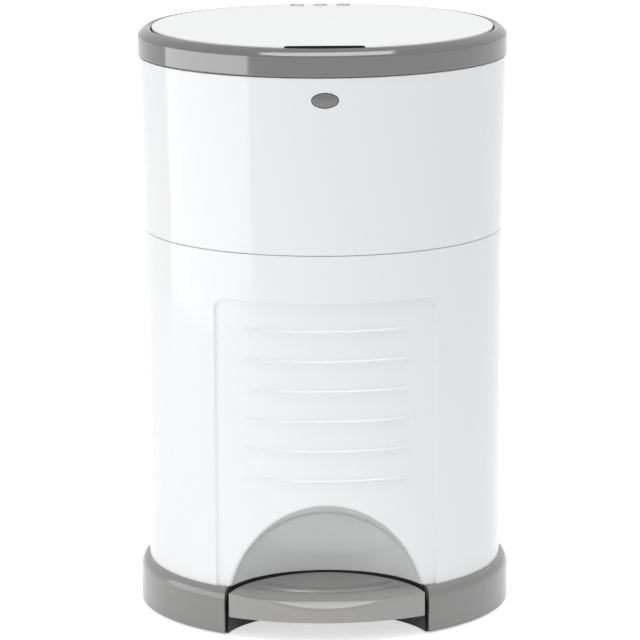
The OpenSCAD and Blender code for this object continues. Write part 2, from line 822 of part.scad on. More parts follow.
shelf_z = rim_z + 1.4;                               // underside of the shelf
flange_z = shelf_z + shelf_t;                        // underside of the flange
flange_top_z = flange_z + flange_t;
module rim_ring() {
  skirt_r = upper_top_r - shell_wall - fit_gap;
  crest_r = rim_lip_r + 1;
  color("gray") difference() {
    rotate_extrude($fn = fine) polygon(concat(
      [[rim_r, rim_z]],
      corner_arc([crest_r, rim_z + rim_face_h], rim_r - crest_r, rim_round_h),
      [[rim_lip_r, rim_top_z - 1], [rim_lip_r, rim_top_z - rim_lip_h],
       [rim_lip_r + 2, rim_top_z - rim_lip_h], [rim_lip_r + 2, rim_top_z - rim_wall - 1.5],
       [rim_r - rim_wall - 1.5, rim_top_z - rim_wall - 2.5],
       [rim_r - rim_wall, rim_z + rim_face_h - 1], [rim_r - rim_wall, shelf_z + shelf_t],
       [shelf_r, shelf_z + shelf_t], [shelf_r, shelf_z],
       [skirt_r - rim_wall, shelf_z], [skirt_r - rim_wall, upper_top_z - rim_skirt],
       [skirt_r - 0.6, upper_top_z - rim_skirt], [skirt_r, upper_top_z - over],
       [skirt_r, rim_z]]));
    rim_screw_places() translate([0, 0, -over])
      cylinder(r = screw_r, h = shelf_t + 2 * over, $fn = small);
  }
}

module rim_screw_places() {
  for (a = [30 : 60 : 330])
    rotate([0, 0, a]) translate([(shelf_r + flange_r) / 2, 0, shelf_z]) children();
}

module rim_screws() {
  color("silver") rim_screw_places() {
    translate([0, 0, -screw_head_h]) screw(shelf_t + flange_t - 1);
  }
}

cone_out_z = flange_top_z - funnel_h;                // where the cone meets the collar
collar_z = cone_out_z - collar_h;                    // bottom of the collar
module hopper() {
  color("gainsboro") difference() {
    rotate_extrude($fn = fine) polygon([
      [flange_r, flange_z], [flange_r, flange_top_z], [funnel_mouth_r, flange_top_z],
      [funnel_out_r, cone_out_z], [funnel_out_r, collar_z],
      [funnel_out_r + funnel_wall, collar_z], [funnel_out_r + funnel_wall, cone_out_z - 1],
      [funnel_mouth_r + 1.4, flange_z]]);
    block([-post_slot_w / 2, post_y0 - 1.5, flange_z - over],
      [post_slot_w / 2, shelf_r - 0.5, flange_top_z + over]);
    rim_screw_places() cylinder(r = screw_r, h = shelf_t + flange_t - 1, $fn = small);
  }
}

module hopper_gasket() {
  color([0.08, 0.08, 0.08]) difference() {
    translate([0, 0, flange_top_z]) tube(flange_r - gasket_set, gasket_r, gasket_t);
    block([-gasket_gap_w / 2, 0, flange_top_z - over],
      [gasket_gap_w / 2, rim_r, flange_top_z + gasket_t + over]);
  }
}
gasket_gap_w = 66;  // width of the gap in the gasket at the lid's hinge
gasket_set = 2;     // how far the gasket's edge lies inside the flange's

// ---------------------------------------------------------------- trap doors

door_z = collar_z - door_drop;                       // height of the doors' shafts
module throat_sleeve() {
  color("gainsboro") difference() {
    translate([0, 0, sleeve_z])
      tube(sleeve_out_r, sleeve_r, flange_z - sleeve_z);
    rotate_extrude($fn = fine) polygon([
      [0, flange_z + over], [funnel_mouth_r + 2.5, flange_z + over],
      [funnel_mouth_r + 1.4, flange_z], [funnel_out_r + funnel_wall, cone_out_z - 1],
      [0, cone_out_z - 1]]);
    for (x = [-1, 1]) translate([x * door_shaft_at, -rim_r, door_z])
      along_y() cylinder(r = door_shaft_r + fit_gap, h = 2 * rim_r, $fn = small);
  }
}

crank_hub_r = 6;
hub_in = door_shaft_at - crank_hub_r - side_gap;
// Where each crank starts along its shaft, clear of the sleeve's outside
crank_y = sqrt(sleeve_out_r * sleeve_out_r - hub_in * hub_in) + side_gap;
shaft_y = crank_y + crank_t + 2;
door_arm_half = door_r - 35;  // half the width of the plate that joins a door to its shaft
module trap_door(side) {
  plate_z = door_z - door_shaft_r + 1.5;
  color("lightgray") mirror([side, 0, 0]) {
    intersection() {
      translate([0, 0, plate_z]) cylinder(r = door_r, h = door_t, $fn = fine);
      block([door_gap / 2, -door_r, plate_z], [door_r, door_r, plate_z + door_t]);
    }
    block([door_r - 25, -door_arm_half, plate_z], [door_shaft_at, door_arm_half, plate_z + door_t]);
    translate([door_shaft_at, -shaft_y, door_z])
      along_y() cylinder(r = door_shaft_r, h = 2 * shaft_y, $fn = small);
    for (y = [-1, 0, 1])
      block([door_gap / 2 + 6, y * 30 - 1, plate_z - 4], [door_shaft_at - 6, y * 30 + 1, plate_z]);
  }
}
module left_trap_door() { trap_door(1); }
module right_trap_door() { trap_door(0); }

crank_arm_half = 1.8;         // half the thickness of a crank's arm
module door_crank(side) {
  color("gray") mirror([side, 0, 0])
    translate([door_shaft_at, crank_y, door_z]) along_y() difference() {
      union() {
        cylinder(r = crank_hub_r, h = crank_t, $fn = small);
        rotate([0, 0, crank_drop]) {
          translate([0, -crank_arm_half, 0]) cube([crank_l, 2 * crank_arm_half, crank_t]);
          translate([crank_l, 0, 0]) cylinder(r = crank_end_r, h = crank_t, $fn = small);
        }
      }
      translate([0, 0, -over]) cylinder(r = door_shaft_r, h = crank_t + 2 * over, $fn = small);
    }
}
module left_door_crank() { door_crank(1); }
module right_door_crank() { door_crank(0); }

// A wound spring along Z: rings of points swept round a helix
function coil_ring(a, r, wire, pitch, sides) =
  [for (s = [0 : sides - 1]) let (w = 360 * s / sides)
    [(r + wire * cos(w)) * cos(a), (r + wire * cos(w)) * sin(a), pitch * a / 360 + wire * sin(w)]];

module coil_spring(r, wire, pitch, turns, steps = 16, sides = 6) {
  rings = turns * steps;
  points = [for (i = [0 : rings]) each coil_ring(i * 360 / steps, r, wire, pitch, sides)];
  skin = [for (i = [0 : rings - 1], s = [0 : sides - 1]) let (n = (s + 1) % sides)
    [i * sides + s, i * sides + n, (i + 1) * sides + n, (i + 1) * sides + s]];
  first = [for (s = [sides - 1 : -1 : 0]) s];
  last = [for (s = [0 : sides - 1]) rings * sides + s];
  polyhedron(points = points, faces = concat([first], skin, [last]), convexity = 8);
}

spring_wire = 0.6;
module door_springs() {
  color("silver") for (side = [0, 1]) mirror([side, 0, 0])
    translate([door_shaft_at, -shaft_y + 1, door_z]) along_y()
      coil_spring(door_shaft_r + 1.6, spring_wire, 1.4, 3);
}

// ---------------------------------------------------------------- film cassette

module cassette_tray() {
  z0 = sleeve_z + 4;
  color("lightgray") {
    translate([0, 0, z0]) tube(tray_r, sleeve_out_r, tray_t);
    translate([0, 0, z0 + tray_t - over / 2])
      tube(tray_r, tray_r - 2, tray_edge_h);
  }
}

cutter_at = (sleeve_out_r + tray_r) / 2;             // distance of the film cutter from the axis
module film_cutter() {
  color("dimgray") difference() {
    block([-9, -cutter_at - 8, sleeve_z - 2], [9, -cutter_at + 8, sleeve_z + 4]);
    block([-1, -cutter_at - 9, sleeve_z - 3], [1, -cutter_at + 3, sleeve_z + 1.5]);
  }
}

module cutter_blade() {
  color("silver") block([-0.3, -cutter_at - 6, sleeve_z - 1], [0.3, -cutter_at + 3, sleeve_z + 1.5]);
}

// ---------------------------------------------------------------- rods and yoke

film_z = sleeve_z + 4 + tray_t;
module film_pack() {
  color("aliceblue") translate([0, 0, film_z])
    tube(film_r, sleeve_out_r + film_gap, yoke_z - film_clear - film_z);
}

pad_h = 4;          // height of the pads that lift the cranks
pad_l = 5;
crank_tip_x = door_shaft_at + crank_l * cos(crank_drop);
pad_top_z = door_z - crank_l * sin(crank_drop) - crank_end_r - push_gap;
yoke_top_z = pad_top_z - pad_h;
yoke_z = yoke_top_z - yoke_h;
lid_pin_z = lid_top_z - lid_pin_drop;
yoke_r = norm([crank_tip_x, crank_y + crank_t / 2]);
finger_r = 2;       // radius of the round tip of the lid's finger
finger_half = 1.2;  // half the thickness of the finger behind its tip
finger_tip_y = lid_pin_back - finger_l * cos(finger_drop);
finger_tip_z = lid_pin_z - finger_l * sin(finger_drop);
post_t = 5;         // thickness of the post that lifts the lid's finger
post_w = 8;
post_slot_w = post_w + 4;
post_y1 = finger_tip_y + 1;
post_y0 = post_y1 - post_t;
module door_yoke() {
  color("gray") difference() {
    union() {
      intersection() {
        translate([0, 0, yoke_z]) tube(yoke_r + yoke_w / 2, yoke_r - yoke_w / 2, yoke_h + pad_h);
        union() {
          linear_extrude(height = yoke_top_z) polygon([[0, 0],
            [-2 * rim_r * sin(yoke_half_angle), 2 * rim_r * cos(yoke_half_angle)],
            [0, 4 * rim_r],
            [2 * rim_r * sin(yoke_half_angle), 2 * rim_r * cos(yoke_half_angle)]]);
          for (side = [0, 1]) mirror([side, 0, 0])
            block([crank_tip_x - 0.7, crank_y - 1, yoke_z],
              [crank_tip_x + pad_l, crank_y + crank_t + 1, pad_top_z]);
        }
      }
      block([-rod_w / 2, yoke_r, yoke_z], [rod_w / 2, rod_y1, yoke_top_z]);
      block([-post_w / 2, post_y0, yoke_z],
        [post_w / 2, post_y1, finger_tip_z - finger_r - push_gap]);
    }
    translate([0, rod_back, yoke_z - over])
      cylinder(r = screw_r, h = yoke_h + 2 * over, $fn = small);
  }
}

module yoke_screw() {
  color("silver") translate([0, rod_back, yoke_top_z]) mirror([0, 0, 1]) {
    cylinder(r = screw_r, h = yoke_h + 8, $fn = small);
    translate([0, 0, -screw_head_h]) cylinder(r = screw_head_r, h = screw_head_h, $fn = small);
  }
}

module upper_push_rod() {
  color("gray") difference() {
    block([-rod_w / 2, rod_y0, seam_z + push_gap], [rod_w / 2, rod_y1, yoke_z]);
    translate([0, rod_back, yoke_z - 8]) cylinder(r = screw_r, h = 8 + over, $fn = small);
  }
}

guide_z = seam_z + 34;        // height of the upper rod's guide
guide_h = 16;
module upper_rod_guide() {
  color("whitesmoke") difference() {
    intersection() {
      block([-rod_w / 2 - rod_gap - 4, rod_y0 - rod_gap - 1.5, guide_z],
        [rod_w / 2 + rod_gap + 4, rim_r, guide_z + guide_h]);
      upper_form(-shell_wall);
    }
    block([-rod_w / 2 - rod_gap, rod_y0 - rod_gap, guide_z - over],
      [rod_w / 2 + rod_gap, rod_y1 + rod_gap, guide_z + guide_h + over]);
  }
}

// ---------------------------------------------------------------- lid

module lid_line(r, x0, x1) {
  translate([x0, lid_pin_back, lid_pin_z]) along_x() cylinder(r = r, h = x1 - x0, $fn = small);
}

module notch_form(grow) {
  depth = 2 * (lid_r - notch_fwd);
  translate([0, -notch_fwd - depth / 2, lid_top_z - 2 * lid_edge_h])
    linear_extrude(height = 4 * lid_edge_h)
      rounded_rect(notch_w + 2 * grow, depth + 2 * grow, notch_corner + grow);
}

// Everything behind the lid's rear edge, which leans forward towards its foot
module behind_lid(edge_y) {
  lean = 30;        // lean of the edge, in degrees
  translate([0, edge_y, lid_top_z]) rotate([-lean, 0, 0])
    translate([-lid_r, 0, -lid_r]) cube(2 * lid_r);
}

module lid_cover() {
  edge_z = lid_top_z - lid_edge_h;
  color("white") difference() {
    union() {
      translate([0, 0, lid_top_z - lid_t]) cylinder(r = lid_r, h = lid_t, $fn = fine);
      translate([0, 0, edge_z]) tube(lid_r, lid_r - lid_t, lid_edge_h);
      intersection() {
        difference() {
          notch_form(lid_t - 0.5);
          translate([-lid_r, -notch_fwd + lid_t, 0]) cube(2 * lid_r);
        }
        translate([0, 0, edge_z]) cylinder(r = lid_r, h = lid_edge_h, $fn = fine);
      }
    }
    notch_form(0);
    behind_lid(cover_back - cover_gap);
  }
}

inner_top_z = lid_top_z - lid_t;
inner_t = 2;        // thickness of the inner lid's plate
inner_rim_t = 3;    // thickness of the rim that closes on the gasket
inner_z = inner_top_z - 2.5 - inner_t;
inner_rim_z = flange_top_z + gasket_t + push_gap;
inner_ribs = [inner_lid_r - 75.5, inner_lid_r - 37.5];  // radii of the ribs that meet the cover
module inner_panel() {
  rotate_extrude($fn = fine) polygon([
    [0, inner_z], [inner_lid_r - inner_rim_t, inner_z],
    [inner_lid_r - inner_rim_t, inner_rim_z], [inner_lid_r, inner_rim_z],
    [inner_lid_r, inner_top_z], [inner_lid_r - 2, inner_top_z],
    [inner_lid_r - 2, inner_z + inner_t], [inner_ribs[1], inner_z + inner_t],
    [inner_ribs[1], inner_top_z], [inner_ribs[1] - 2, inner_top_z],
    [inner_ribs[1] - 2, inner_z + inner_t], [inner_ribs[0], inner_z + inner_t],
    [inner_ribs[0], inner_top_z], [inner_ribs[0] - 2, inner_top_z],
    [inner_ribs[0] - 2, inner_z + inner_t], [0, inner_z + inner_t]]);
}

arm_root = 14;      // how far a lid arm runs under the inner panel
arm_z0 = lid_pin_z - 2.4;
// Side view of a lid arm: distance from the pin to the front, and height above it
module lid_arm_outline(finger) {
  circle(r = lid_barrel_r, $fn = small);
  translate([0, arm_z0 - lid_pin_z])
    square([lid_pin_back - cover_back + arm_root, inner_z + inner_t / 2 - arm_z0]);
  if (finger) rotate([0, 0, -finger_drop]) {
    translate([0, -finger_half]) square([finger_l, 2 * finger_half]);
    translate([finger_l, 0]) circle(r = finger_r, $fn = small);
  }
}

module lid_inner() {
  color("whitesmoke") difference() {
    union() {
      difference() {
        inner_panel();
        behind_lid(cover_back - cover_gap);
        block([-lid_arm_at - lid_arm_w, cover_back - arm_root - 4, inner_rim_z - over],
          [lid_arm_at + lid_arm_w, lid_r, inner_z]);
      }
      for (x = [-lid_arm_at, 0, lid_arm_at])
        translate([x + lid_arm_w / 2, lid_pin_back, lid_pin_z]) rotate([90, 0, -90])
          linear_extrude(height = lid_arm_w) lid_arm_outline(x == 0);
    }
    lid_line(lid_pin_r + fit_gap, -lid_arm_at - lid_arm_w, lid_arm_at + lid_arm_w);
    lid_screw_places() translate([0, 0, -over])
      cylinder(r = screw_r, h = inner_t + 2 * over, $fn = small);
  }
}

module lid_screw_places() {
  for (a = [45 : 90 : 315])
    rotate([0, 0, a]) translate([(inner_ribs[0] + inner_ribs[1]) / 2 - 1, 0, inner_z]) children();
}

module lid_screws() {
  color("silver") lid_screw_places() {
    translate([0, 0, -screw_head_h]) cylinder(r = screw_head_r, h = screw_head_h, $fn = small);
    translate([0, 0, -over]) cylinder(r = screw_r, h = inner_top_z - inner_z + over, $fn = small);
  }
}

ear_gap = 1;        // gap between a lid arm and what stands beside it
ear_w = 4;          // thickness of each outer ear that holds the lid's pin
outer_ear_x = lid_arm_at + lid_arm_w / 2 + ear_gap + 0.5;
module hinge_cover() {
  slot_y1 = lid_pin_back + inner_z + inner_t - lid_pin_z + ear_gap;
  arm_half = lid_arm_w / 2 + ear_gap;
  ear_x0 = arm_half + 0.5;
  ear_x1 = lid_arm_at - arm_half - 0.5;
  color("white") difference() {
    union() {
      intersection() {
        union() {
          translate([0, 0, inner_top_z]) cylinder(r = lid_r, h = lid_t, $fn = fine);
          translate([0, 0, flange_top_z]) tube(lid_r, lid_r - 2, lid_top_z - flange_top_z);
        }
        block([-lid_r, cover_back, 0], [lid_r, lid_r, lid_top_z + over]);
      }
      intersection() {
        for (side = [0, 1]) mirror([side, 0, 0]) {
          block([ear_x0, lid_pin_back - 5, flange_top_z], [ear_x1, lid_pin_back + 3.5, inner_top_z]);
          block([outer_ear_x, lid_pin_back - 5, flange_top_z],
            [outer_ear_x + ear_w, lid_pin_back + 3.5, inner_top_z]);
        }
        cylinder(r = lid_r, h = lid_top_z, $fn = fine);
      }
    }
    for (x = [-lid_arm_at, 0, lid_arm_at]) {
      block([x - arm_half, 0, 0], [x + arm_half, slot_y1, lid_top_z + over]);
      block([x - arm_half, 0, 0], [x + arm_half, lid_r, inner_top_z]);
    }
    lid_line(lid_pin_r, -outer_ear_x - ear_w - over, outer_ear_x + ear_w + over);
  }
}

module lid_hinge_pin() {
  color("silver") lid_line(lid_pin_r, -outer_ear_x - ear_w, outer_ear_x + ear_w);
}

// ---------------------------------------------------------------- button and latch

button_face_y = -upper_r(button_z) - button_proud;
stem_end_y = -latch_fwd - latch_t / 2 - push_gap;
button_flange_y = button_face_y + button_depth;
module release_button() {
  color("gray") {
    intersection() {
      button_prism(0, button_face_y, button_flange_y);
      upper_form(button_proud);
    }
    button_prism(1.6, button_flange_y - 1.5, button_flange_y);
    translate([0, button_flange_y, button_z]) along_y()
      cylinder(r = stem_r, h = stem_end_y - button_flange_y, $fn = small);
  }
}
stem_r = 2.5;

guide_wall = 2;
module button_guide() {
  y1 = button_flange_y - 1.5 - push_gap;
  color("whitesmoke") difference() {
    intersection() {
      button_prism(guide_wall + button_gap, -rim_r, y1);
      upper_form(-shell_wall);
    }
    button_prism(button_gap, -rim_r - over, y1 + over);
  }
}

module button_spring() {
  color("silver") translate([0, button_flange_y + spring_wire + 0.1, button_z]) along_y()
    coil_spring(stem_r + 1.3, 0.4, 0.9, 2);
}

ear_x = latch_w / 2 + side_gap;
bracket_half = ear_x + 8.5;   // half the width of the latch's bracket
module latch_bracket() {
  color("whitesmoke") difference() {
    union() {
      intersection() {
        block([-bracket_half, -rim_r, latch_pin_z - 12],
          [bracket_half, -latch_fwd - 5, latch_pin_z + 12]);
        upper_form(-shell_wall);
      }
      for (side = [0, 1]) mirror([side, 0, 0])
        block([ear_x, -latch_fwd - 5.5, latch_pin_z - 6], [ear_x + 3, -latch_fwd + 4, latch_pin_z + 6]);
    }
    translate([-bracket_half, -latch_fwd, latch_pin_z]) along_x()
      cylinder(r = latch_pin_r, h = 2 * bracket_half, $fn = small);
    block([-ear_x, -latch_fwd - 6.5, latch_pin_z - 13], [ear_x, 0, latch_pin_z + 13]);
  }
}

hook_z = seam_z + 5;          // underside of the latch's hook
hook_h = 3;
module latch_lever() {
  top_z = button_z + 5;
  color("gray") difference() {
    union() {
      block([-latch_w / 2, -latch_fwd - latch_t / 2, hook_z],
        [latch_w / 2, -latch_fwd + latch_t / 2, top_z]);
      block([-latch_w / 2, -latch_fwd, hook_z],
        [latch_w / 2, -latch_fwd + latch_t / 2 + hook_reach, hook_z + hook_h]);
      translate([-latch_w / 2, -latch_fwd, latch_pin_z]) along_x()
        cylinder(r = latch_pin_r + 2, h = latch_w, $fn = small);
    }
    translate([-latch_w, -latch_fwd, latch_pin_z]) along_x()
      cylinder(r = latch_pin_r + fit_gap, h = 2 * latch_w, $fn = small);
  }
}

module latch_pin() {
  color("silver") translate([-ear_x - 3, -latch_fwd, latch_pin_z]) along_x()
    cylinder(r = latch_pin_r, h = 2 * ear_x + 6, $fn = small);
}

module latch_strike() {
  x1 = latch_w / 2 + 6;
  bar_y0 = -latch_fwd + latch_t / 2 + hook_reach + hook_gap;
  bar_z0 = hook_z + hook_h + move_gap;
  bar_z1 = bar_z0 + 3.5;
  color("whitesmoke") intersection() {
    union() {
      block([-x1, bar_y0, bar_z0], [x1, bar_y0 + 5, bar_z1]);
      for (side = [0, 1]) mirror([side, 0, 0])
        block([x1 - 3, -rim_r, seam_z - lip_root], [x1, bar_y0 + 5, bar_z1]);
    }
    cylinder(r = lip_r - lip_t, h = rim_top_z, $fn = fine);
  }
}

// ---------------------------------------------------------------- nodes

base_ring();
base_pan();
rubber_feet();
base_screws();
pedal_axle();
pedal();
pedal_lever();
lever_rivets();
lower_push_rod();
lower_shell();
rod_channel();
channel_screws();
latch_strike();
hinge_pin();
upper_shell();
rim_ring();
rim_screws();
hopper();
hopper_gasket();
throat_sleeve();
cassette_tray();
film_pack();
film_cutter();
cutter_blade();
hinge_cover();
lid_hinge_pin();
lid_cover();
lid_inner();
lid_screws();
upper_rod_guide();
upper_push_rod();
door_yoke();
yoke_screw();
left_trap_door();
right_trap_door();
left_door_crank();
right_door_crank();
door_springs();
release_button();
button_spring();
button_guide();
latch_bracket();
latch_lever();
latch_pin();
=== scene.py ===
import math

import bmesh
import bpy
import numpy as np
from mathutils import Matrix, Vector
from mathutils.geometry import delaunay_2d_cdt


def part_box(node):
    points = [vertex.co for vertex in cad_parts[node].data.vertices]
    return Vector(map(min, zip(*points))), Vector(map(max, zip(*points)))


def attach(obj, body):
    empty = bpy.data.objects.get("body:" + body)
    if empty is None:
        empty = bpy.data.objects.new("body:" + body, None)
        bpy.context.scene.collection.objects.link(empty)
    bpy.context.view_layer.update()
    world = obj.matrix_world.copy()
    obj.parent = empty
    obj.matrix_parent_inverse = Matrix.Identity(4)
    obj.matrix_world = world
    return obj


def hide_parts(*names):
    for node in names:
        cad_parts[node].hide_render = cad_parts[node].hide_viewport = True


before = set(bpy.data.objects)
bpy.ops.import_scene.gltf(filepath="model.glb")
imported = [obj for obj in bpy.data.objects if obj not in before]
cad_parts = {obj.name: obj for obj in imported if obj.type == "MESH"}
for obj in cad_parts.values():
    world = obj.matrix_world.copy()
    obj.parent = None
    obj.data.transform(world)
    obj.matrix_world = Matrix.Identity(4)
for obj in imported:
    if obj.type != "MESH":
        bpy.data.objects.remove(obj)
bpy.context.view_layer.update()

# ---------------------------------------------------------------- camera
# A long lens a little above the middle of the bin and slightly to the left of the
# pedal, with the frame shifted and turned a touch.

aim_z = 0.22725
camera_distance = 3.2236
camera_elevation, camera_side = math.radians(11.2), math.radians(0.75)
camera_roll = math.radians(-0.24)
lens_mm, sensor_mm, lens_shift, sight_limit = 236.25, 36, (-0.00543, -0.02), 50
camera_data = bpy.data.cameras.new("studio_camera")
camera_data.lens = lens_mm
camera_data.sensor_width = sensor_mm
camera_data.shift_x, camera_data.shift_y = lens_shift
camera_data.clip_end = sight_limit
camera = bpy.data.objects.new("studio_camera", camera_data)
bpy.context.scene.collection.objects.link(camera)
flat_distance = camera_distance * math.cos(camera_elevation)
camera.location = (-flat_distance * math.sin(camera_side), -flat_distance * math.cos(camera_side),
                   aim_z + camera_distance * math.sin(camera_elevation))
camera.rotation_euler = (Matrix.Rotation(-camera_side, 3, "Z")
                         @ Matrix.Rotation(math.pi / 2 - camera_elevation, 3, "X")
                         @ Matrix.Rotation(camera_roll, 3, "Z")).to_euler()
bpy.context.scene.camera = camera
bpy.context.scene.view_settings.view_transform = "Standard"

# ---------------------------------------------------------------- studio
# White floor, a low softbox at the left whose edge shows in the gloss, one panel
# overhead, and a pale surround that is brightest above, in front and to the right.


def math_node(tree, operation, *operands, clamp=False):
    """A math node whose operands are numbers or output sockets."""
    step = tree.nodes.new("ShaderNodeMath")
    step.operation = operation
    step.use_clamp = clamp
    for socket, operand in zip(step.inputs, operands):
        if isinstance(operand, (int, float)):
            socket.default_value = operand
        else:
            tree.links.new(operand, socket)
    return step.outputs[0]


def light_path_mask(tree):
    """1 where a ray comes from the camera, a gloss or through glass, otherwise 0."""
    path = tree.nodes.new("ShaderNodeLightPath").outputs
    open_air = math_node(tree, "MAXIMUM", path["Is Camera Ray"], path["Is Glossy Ray"])
    return math_node(tree, "MAXIMUM", open_air, path["Is Transmission Ray"])


surround_level, surround_slope, brighter_side = 0.46, 0.50, (0.42, -0.62, 0.66)
surround_colour = (0.98, 0.99, 1.0, 1)
world = bpy.data.worlds.new("pale_surround")
bpy.context.scene.world = world
world.use_nodes = True
world_nodes, world_links = world.node_tree.nodes, world.node_tree.links
world_nodes.clear()
surround = world_nodes.new("ShaderNodeBackground")
surround.inputs["Color"].default_value = surround_colour
seen_white = world_nodes.new("ShaderNodeBackground")
seen_white.inputs["Color"].default_value = (1, 1, 1, 1)
seen_white.inputs["Strength"].default_value = 1.0
sky_place = world_nodes.new("ShaderNodeTexCoord")
toward_bright_side = world_nodes.new("ShaderNodeVectorMath")
toward_bright_side.operation = "DOT_PRODUCT"
toward_bright_side.inputs[1].default_value = brighter_side
world_links.new(sky_place.outputs["Generated"], toward_bright_side.inputs[0])
slope_of_light = math_node(world.node_tree, "MULTIPLY_ADD", toward_bright_side.outputs["Value"],
                           surround_slope, surround_level)
world_links.new(slope_of_light, surround.inputs["Strength"])
world_mix = world_nodes.new("ShaderNodeMixShader")
world_out = world_nodes.new("ShaderNodeOutputWorld")
world_links.new(light_path_mask(world.node_tree), world_mix.inputs[0])
world_links.new(surround.outputs[0], world_mix.inputs[1])
world_links.new(seen_white.outputs[0], world_mix.inputs[2])
world_links.new(world_mix.outputs[0], world_out.inputs["Surface"])

# The floor is white paper. It glows evenly where it is seen, and a soft pool of light
# in front of the pedal lights the bin from below.
floor_half, floor_white, floor_glow = 6.0, (0.88, 0.88, 0.88, 1), 0.62
bounce_centre, bounce_radius, bounce_level = (-0.1, -0.36, 0.0), 0.5, 0.45
floor_mesh = bpy.data.meshes.new("studio_floor")
floor_mesh.from_pydata([(-floor_half, -floor_half, 0), (floor_half, -floor_half, 0),
                        (floor_half, floor_half, 0), (-floor_half, floor_half, 0)],
                       [], [(0, 1, 2, 3)])
floor = bpy.data.objects.new("studio_floor", floor_mesh)
bpy.context.scene.collection.objects.link(floor)
floor_paint = bpy.data.materials.new("floor_paint")
floor_paint.use_nodes = True
nodes, links = floor_paint.node_tree.nodes, floor_paint.node_tree.links
nodes.clear()
floor_diffuse = nodes.new("ShaderNodeBsdfDiffuse")
floor_diffuse.inputs["Color"].default_value = floor_white
floor_light = nodes.new("ShaderNodeEmission")
floor_place = nodes.new("ShaderNodeTexCoord")
floor_distance = nodes.new("ShaderNodeVectorMath")
floor_distance.operation = "DISTANCE"
floor_distance.inputs[1].default_value = bounce_centre
links.new(floor_place.outputs["Object"], floor_distance.inputs[0])
floor_bounce = nodes.new("ShaderNodeMapRange")
floor_bounce.interpolation_type = "SMOOTHSTEP"
for label, value in (("From Min", 0.0), ("From Max", bounce_radius), ("To Min", bounce_level),
                     ("To Max", 0.0)):
    floor_bounce.inputs[label].default_value = value
links.new(floor_distance.outputs["Value"], floor_bounce.inputs["Value"])
floor_share = nodes.new("ShaderNodeMix")    # number inputs: 0 share, 2 first, 3 second
links.new(light_path_mask(floor_paint.node_tree), floor_share.inputs[0])
links.new(floor_bounce.outputs["Result"], floor_share.inputs[2])
floor_share.inputs[3].default_value = floor_glow
links.new(floor_share.outputs[0], floor_light.inputs["Strength"])
floor_sum = nodes.new("ShaderNodeAddShader")
links.new(floor_diffuse.outputs[0], floor_sum.inputs[0])
links.new(floor_light.outputs[0], floor_sum.inputs[1])
floor_out = nodes.new("ShaderNodeOutputMaterial")
links.new(floor_sum.outputs[0], floor_out.inputs["Surface"])
floor_mesh.materials.append(floor_paint)


def softbox(name, at, toward, width, height, power):
    """A rectangular lamp at a point, turned towards another point."""
    data = bpy.data.lights.new(name, "AREA")
    data.shape = "RECTANGLE"
    data.size, data.size_y = width, height
    data.energy = power
    lamp = bpy.data.objects.new(name, data)
    bpy.context.scene.collection.objects.link(lamp)
    lamp.location = at
    lamp.rotation_euler = (Vector(toward) - Vector(at)).to_track_quat("-Z", "Y").to_euler()


softbox("left_softbox", (-1.114, -0.258, 0.27), (0.064, -0.031, 0.27), 1.45, 0.52, 3.9)
softbox("overhead_panel", (0.05, -0.42, 1.68), (0.0, -0.2, 0.2), 1.3, 0.5, 5.4)

# ---------------------------------------------------------------- lower body
# The lower body is one glossy white ABS moulding: a slightly tapered drum with a
# sunk front panel, six ribs and an arched foot well moulded in with the wall.

MM = 0.001
merge_per_mm = 2e4  # points that share a step of this grid are one point
wrap_r = 136.0      # radius at which the wall's outline is unrolled
base_top_z = 36.0
seam_z = 292.0
lower_foot_r, lower_top_r = 135.1, 136.5
wall_t = 2.5
panel_depth, panel_half_w, panel_top_z, panel_corner = 2.0, 82.5, 256.0, 8.0
panel_slope = 0.75  # half the width of the panel's sloping side
rib_heights = [121.5 + 22.65 * i for i in range(6)]
rib_half_l, rib_half_h, rib_proud = 62.5, 1.75, 1.3
arch_centre = np.array([0.0, -133.1, 27.5])
arch_r, arch_slope = 72.0, math.radians(18)
well_centre_y, well_r = -141.5, 78.0
arch_edge_round, crease_round = 2.6, 1.6

sharp_angle, hardware_sharp_angle = math.radians(33), math.radians(38)


def finish_mesh(name, points, faces, body, slot, stands_for=(), normals=None, flat=()):
    """Makes one closed piece from points in millimetres, merges what coincides and
    hands it to its body and its finish. flat lists faces that keep a hard edge."""
    points = np.asarray(points, float)
    keys = np.round(points * merge_per_mm).astype(np.int64)
    _, first, back = np.unique(keys, axis=0, return_index=True, return_inverse=True)
    back = back.ravel()
    kept, flat, hard = [], set(flat), []
    for number, face in enumerate(faces):
        ring = [int(back[i]) for i in face]
        ring = [v for k, v in enumerate(ring) if v != ring[k - 1]]
        if len(set(ring)) >= 3 and len(set(ring)) == len(ring):
            kept.append(ring)
            hard.append(number in flat)
    mesh = bpy.data.meshes.new(name)
    mesh.from_pydata([tuple(p) for p in points[first] * MM], [], kept)
    solid = bmesh.new()
    solid.from_mesh(mesh)
    bmesh.ops.recalc_face_normals(solid, faces=solid.faces)
    solid.to_mesh(mesh)
    solid.free()
    mesh.polygons.foreach_set("use_smooth", [not h for h in hard])
    mesh.update()
    if normals is not None:
        corner = np.zeros(len(mesh.loops), np.int64)
        mesh.loops.foreach_get("vertex_index", corner)
        loop_normals = np.asarray(normals, float)[first][corner]
        for number in np.nonzero(hard)[0]:
            poly = mesh.polygons[int(number)]
            for k in poly.loop_indices:
                loop_normals[k] = poly.normal
        mesh.normals_split_custom_set(loop_normals.tolist())
    else:
        mesh.set_sharp_from_angle(angle=sharp_angle)
    piece = bpy.data.objects.new(name, mesh)
    bpy.context.scene.collection.objects.link(piece)
    if normals is None:
        weighted = piece.modifiers.new("face_weights", "WEIGHTED_NORMAL")
        weighted.keep_sharp = True
        weighted.weight = 100
    mesh.materials.append(finishes[slot])
    if stands_for:
        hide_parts(*stands_for)
    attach(piece, body)


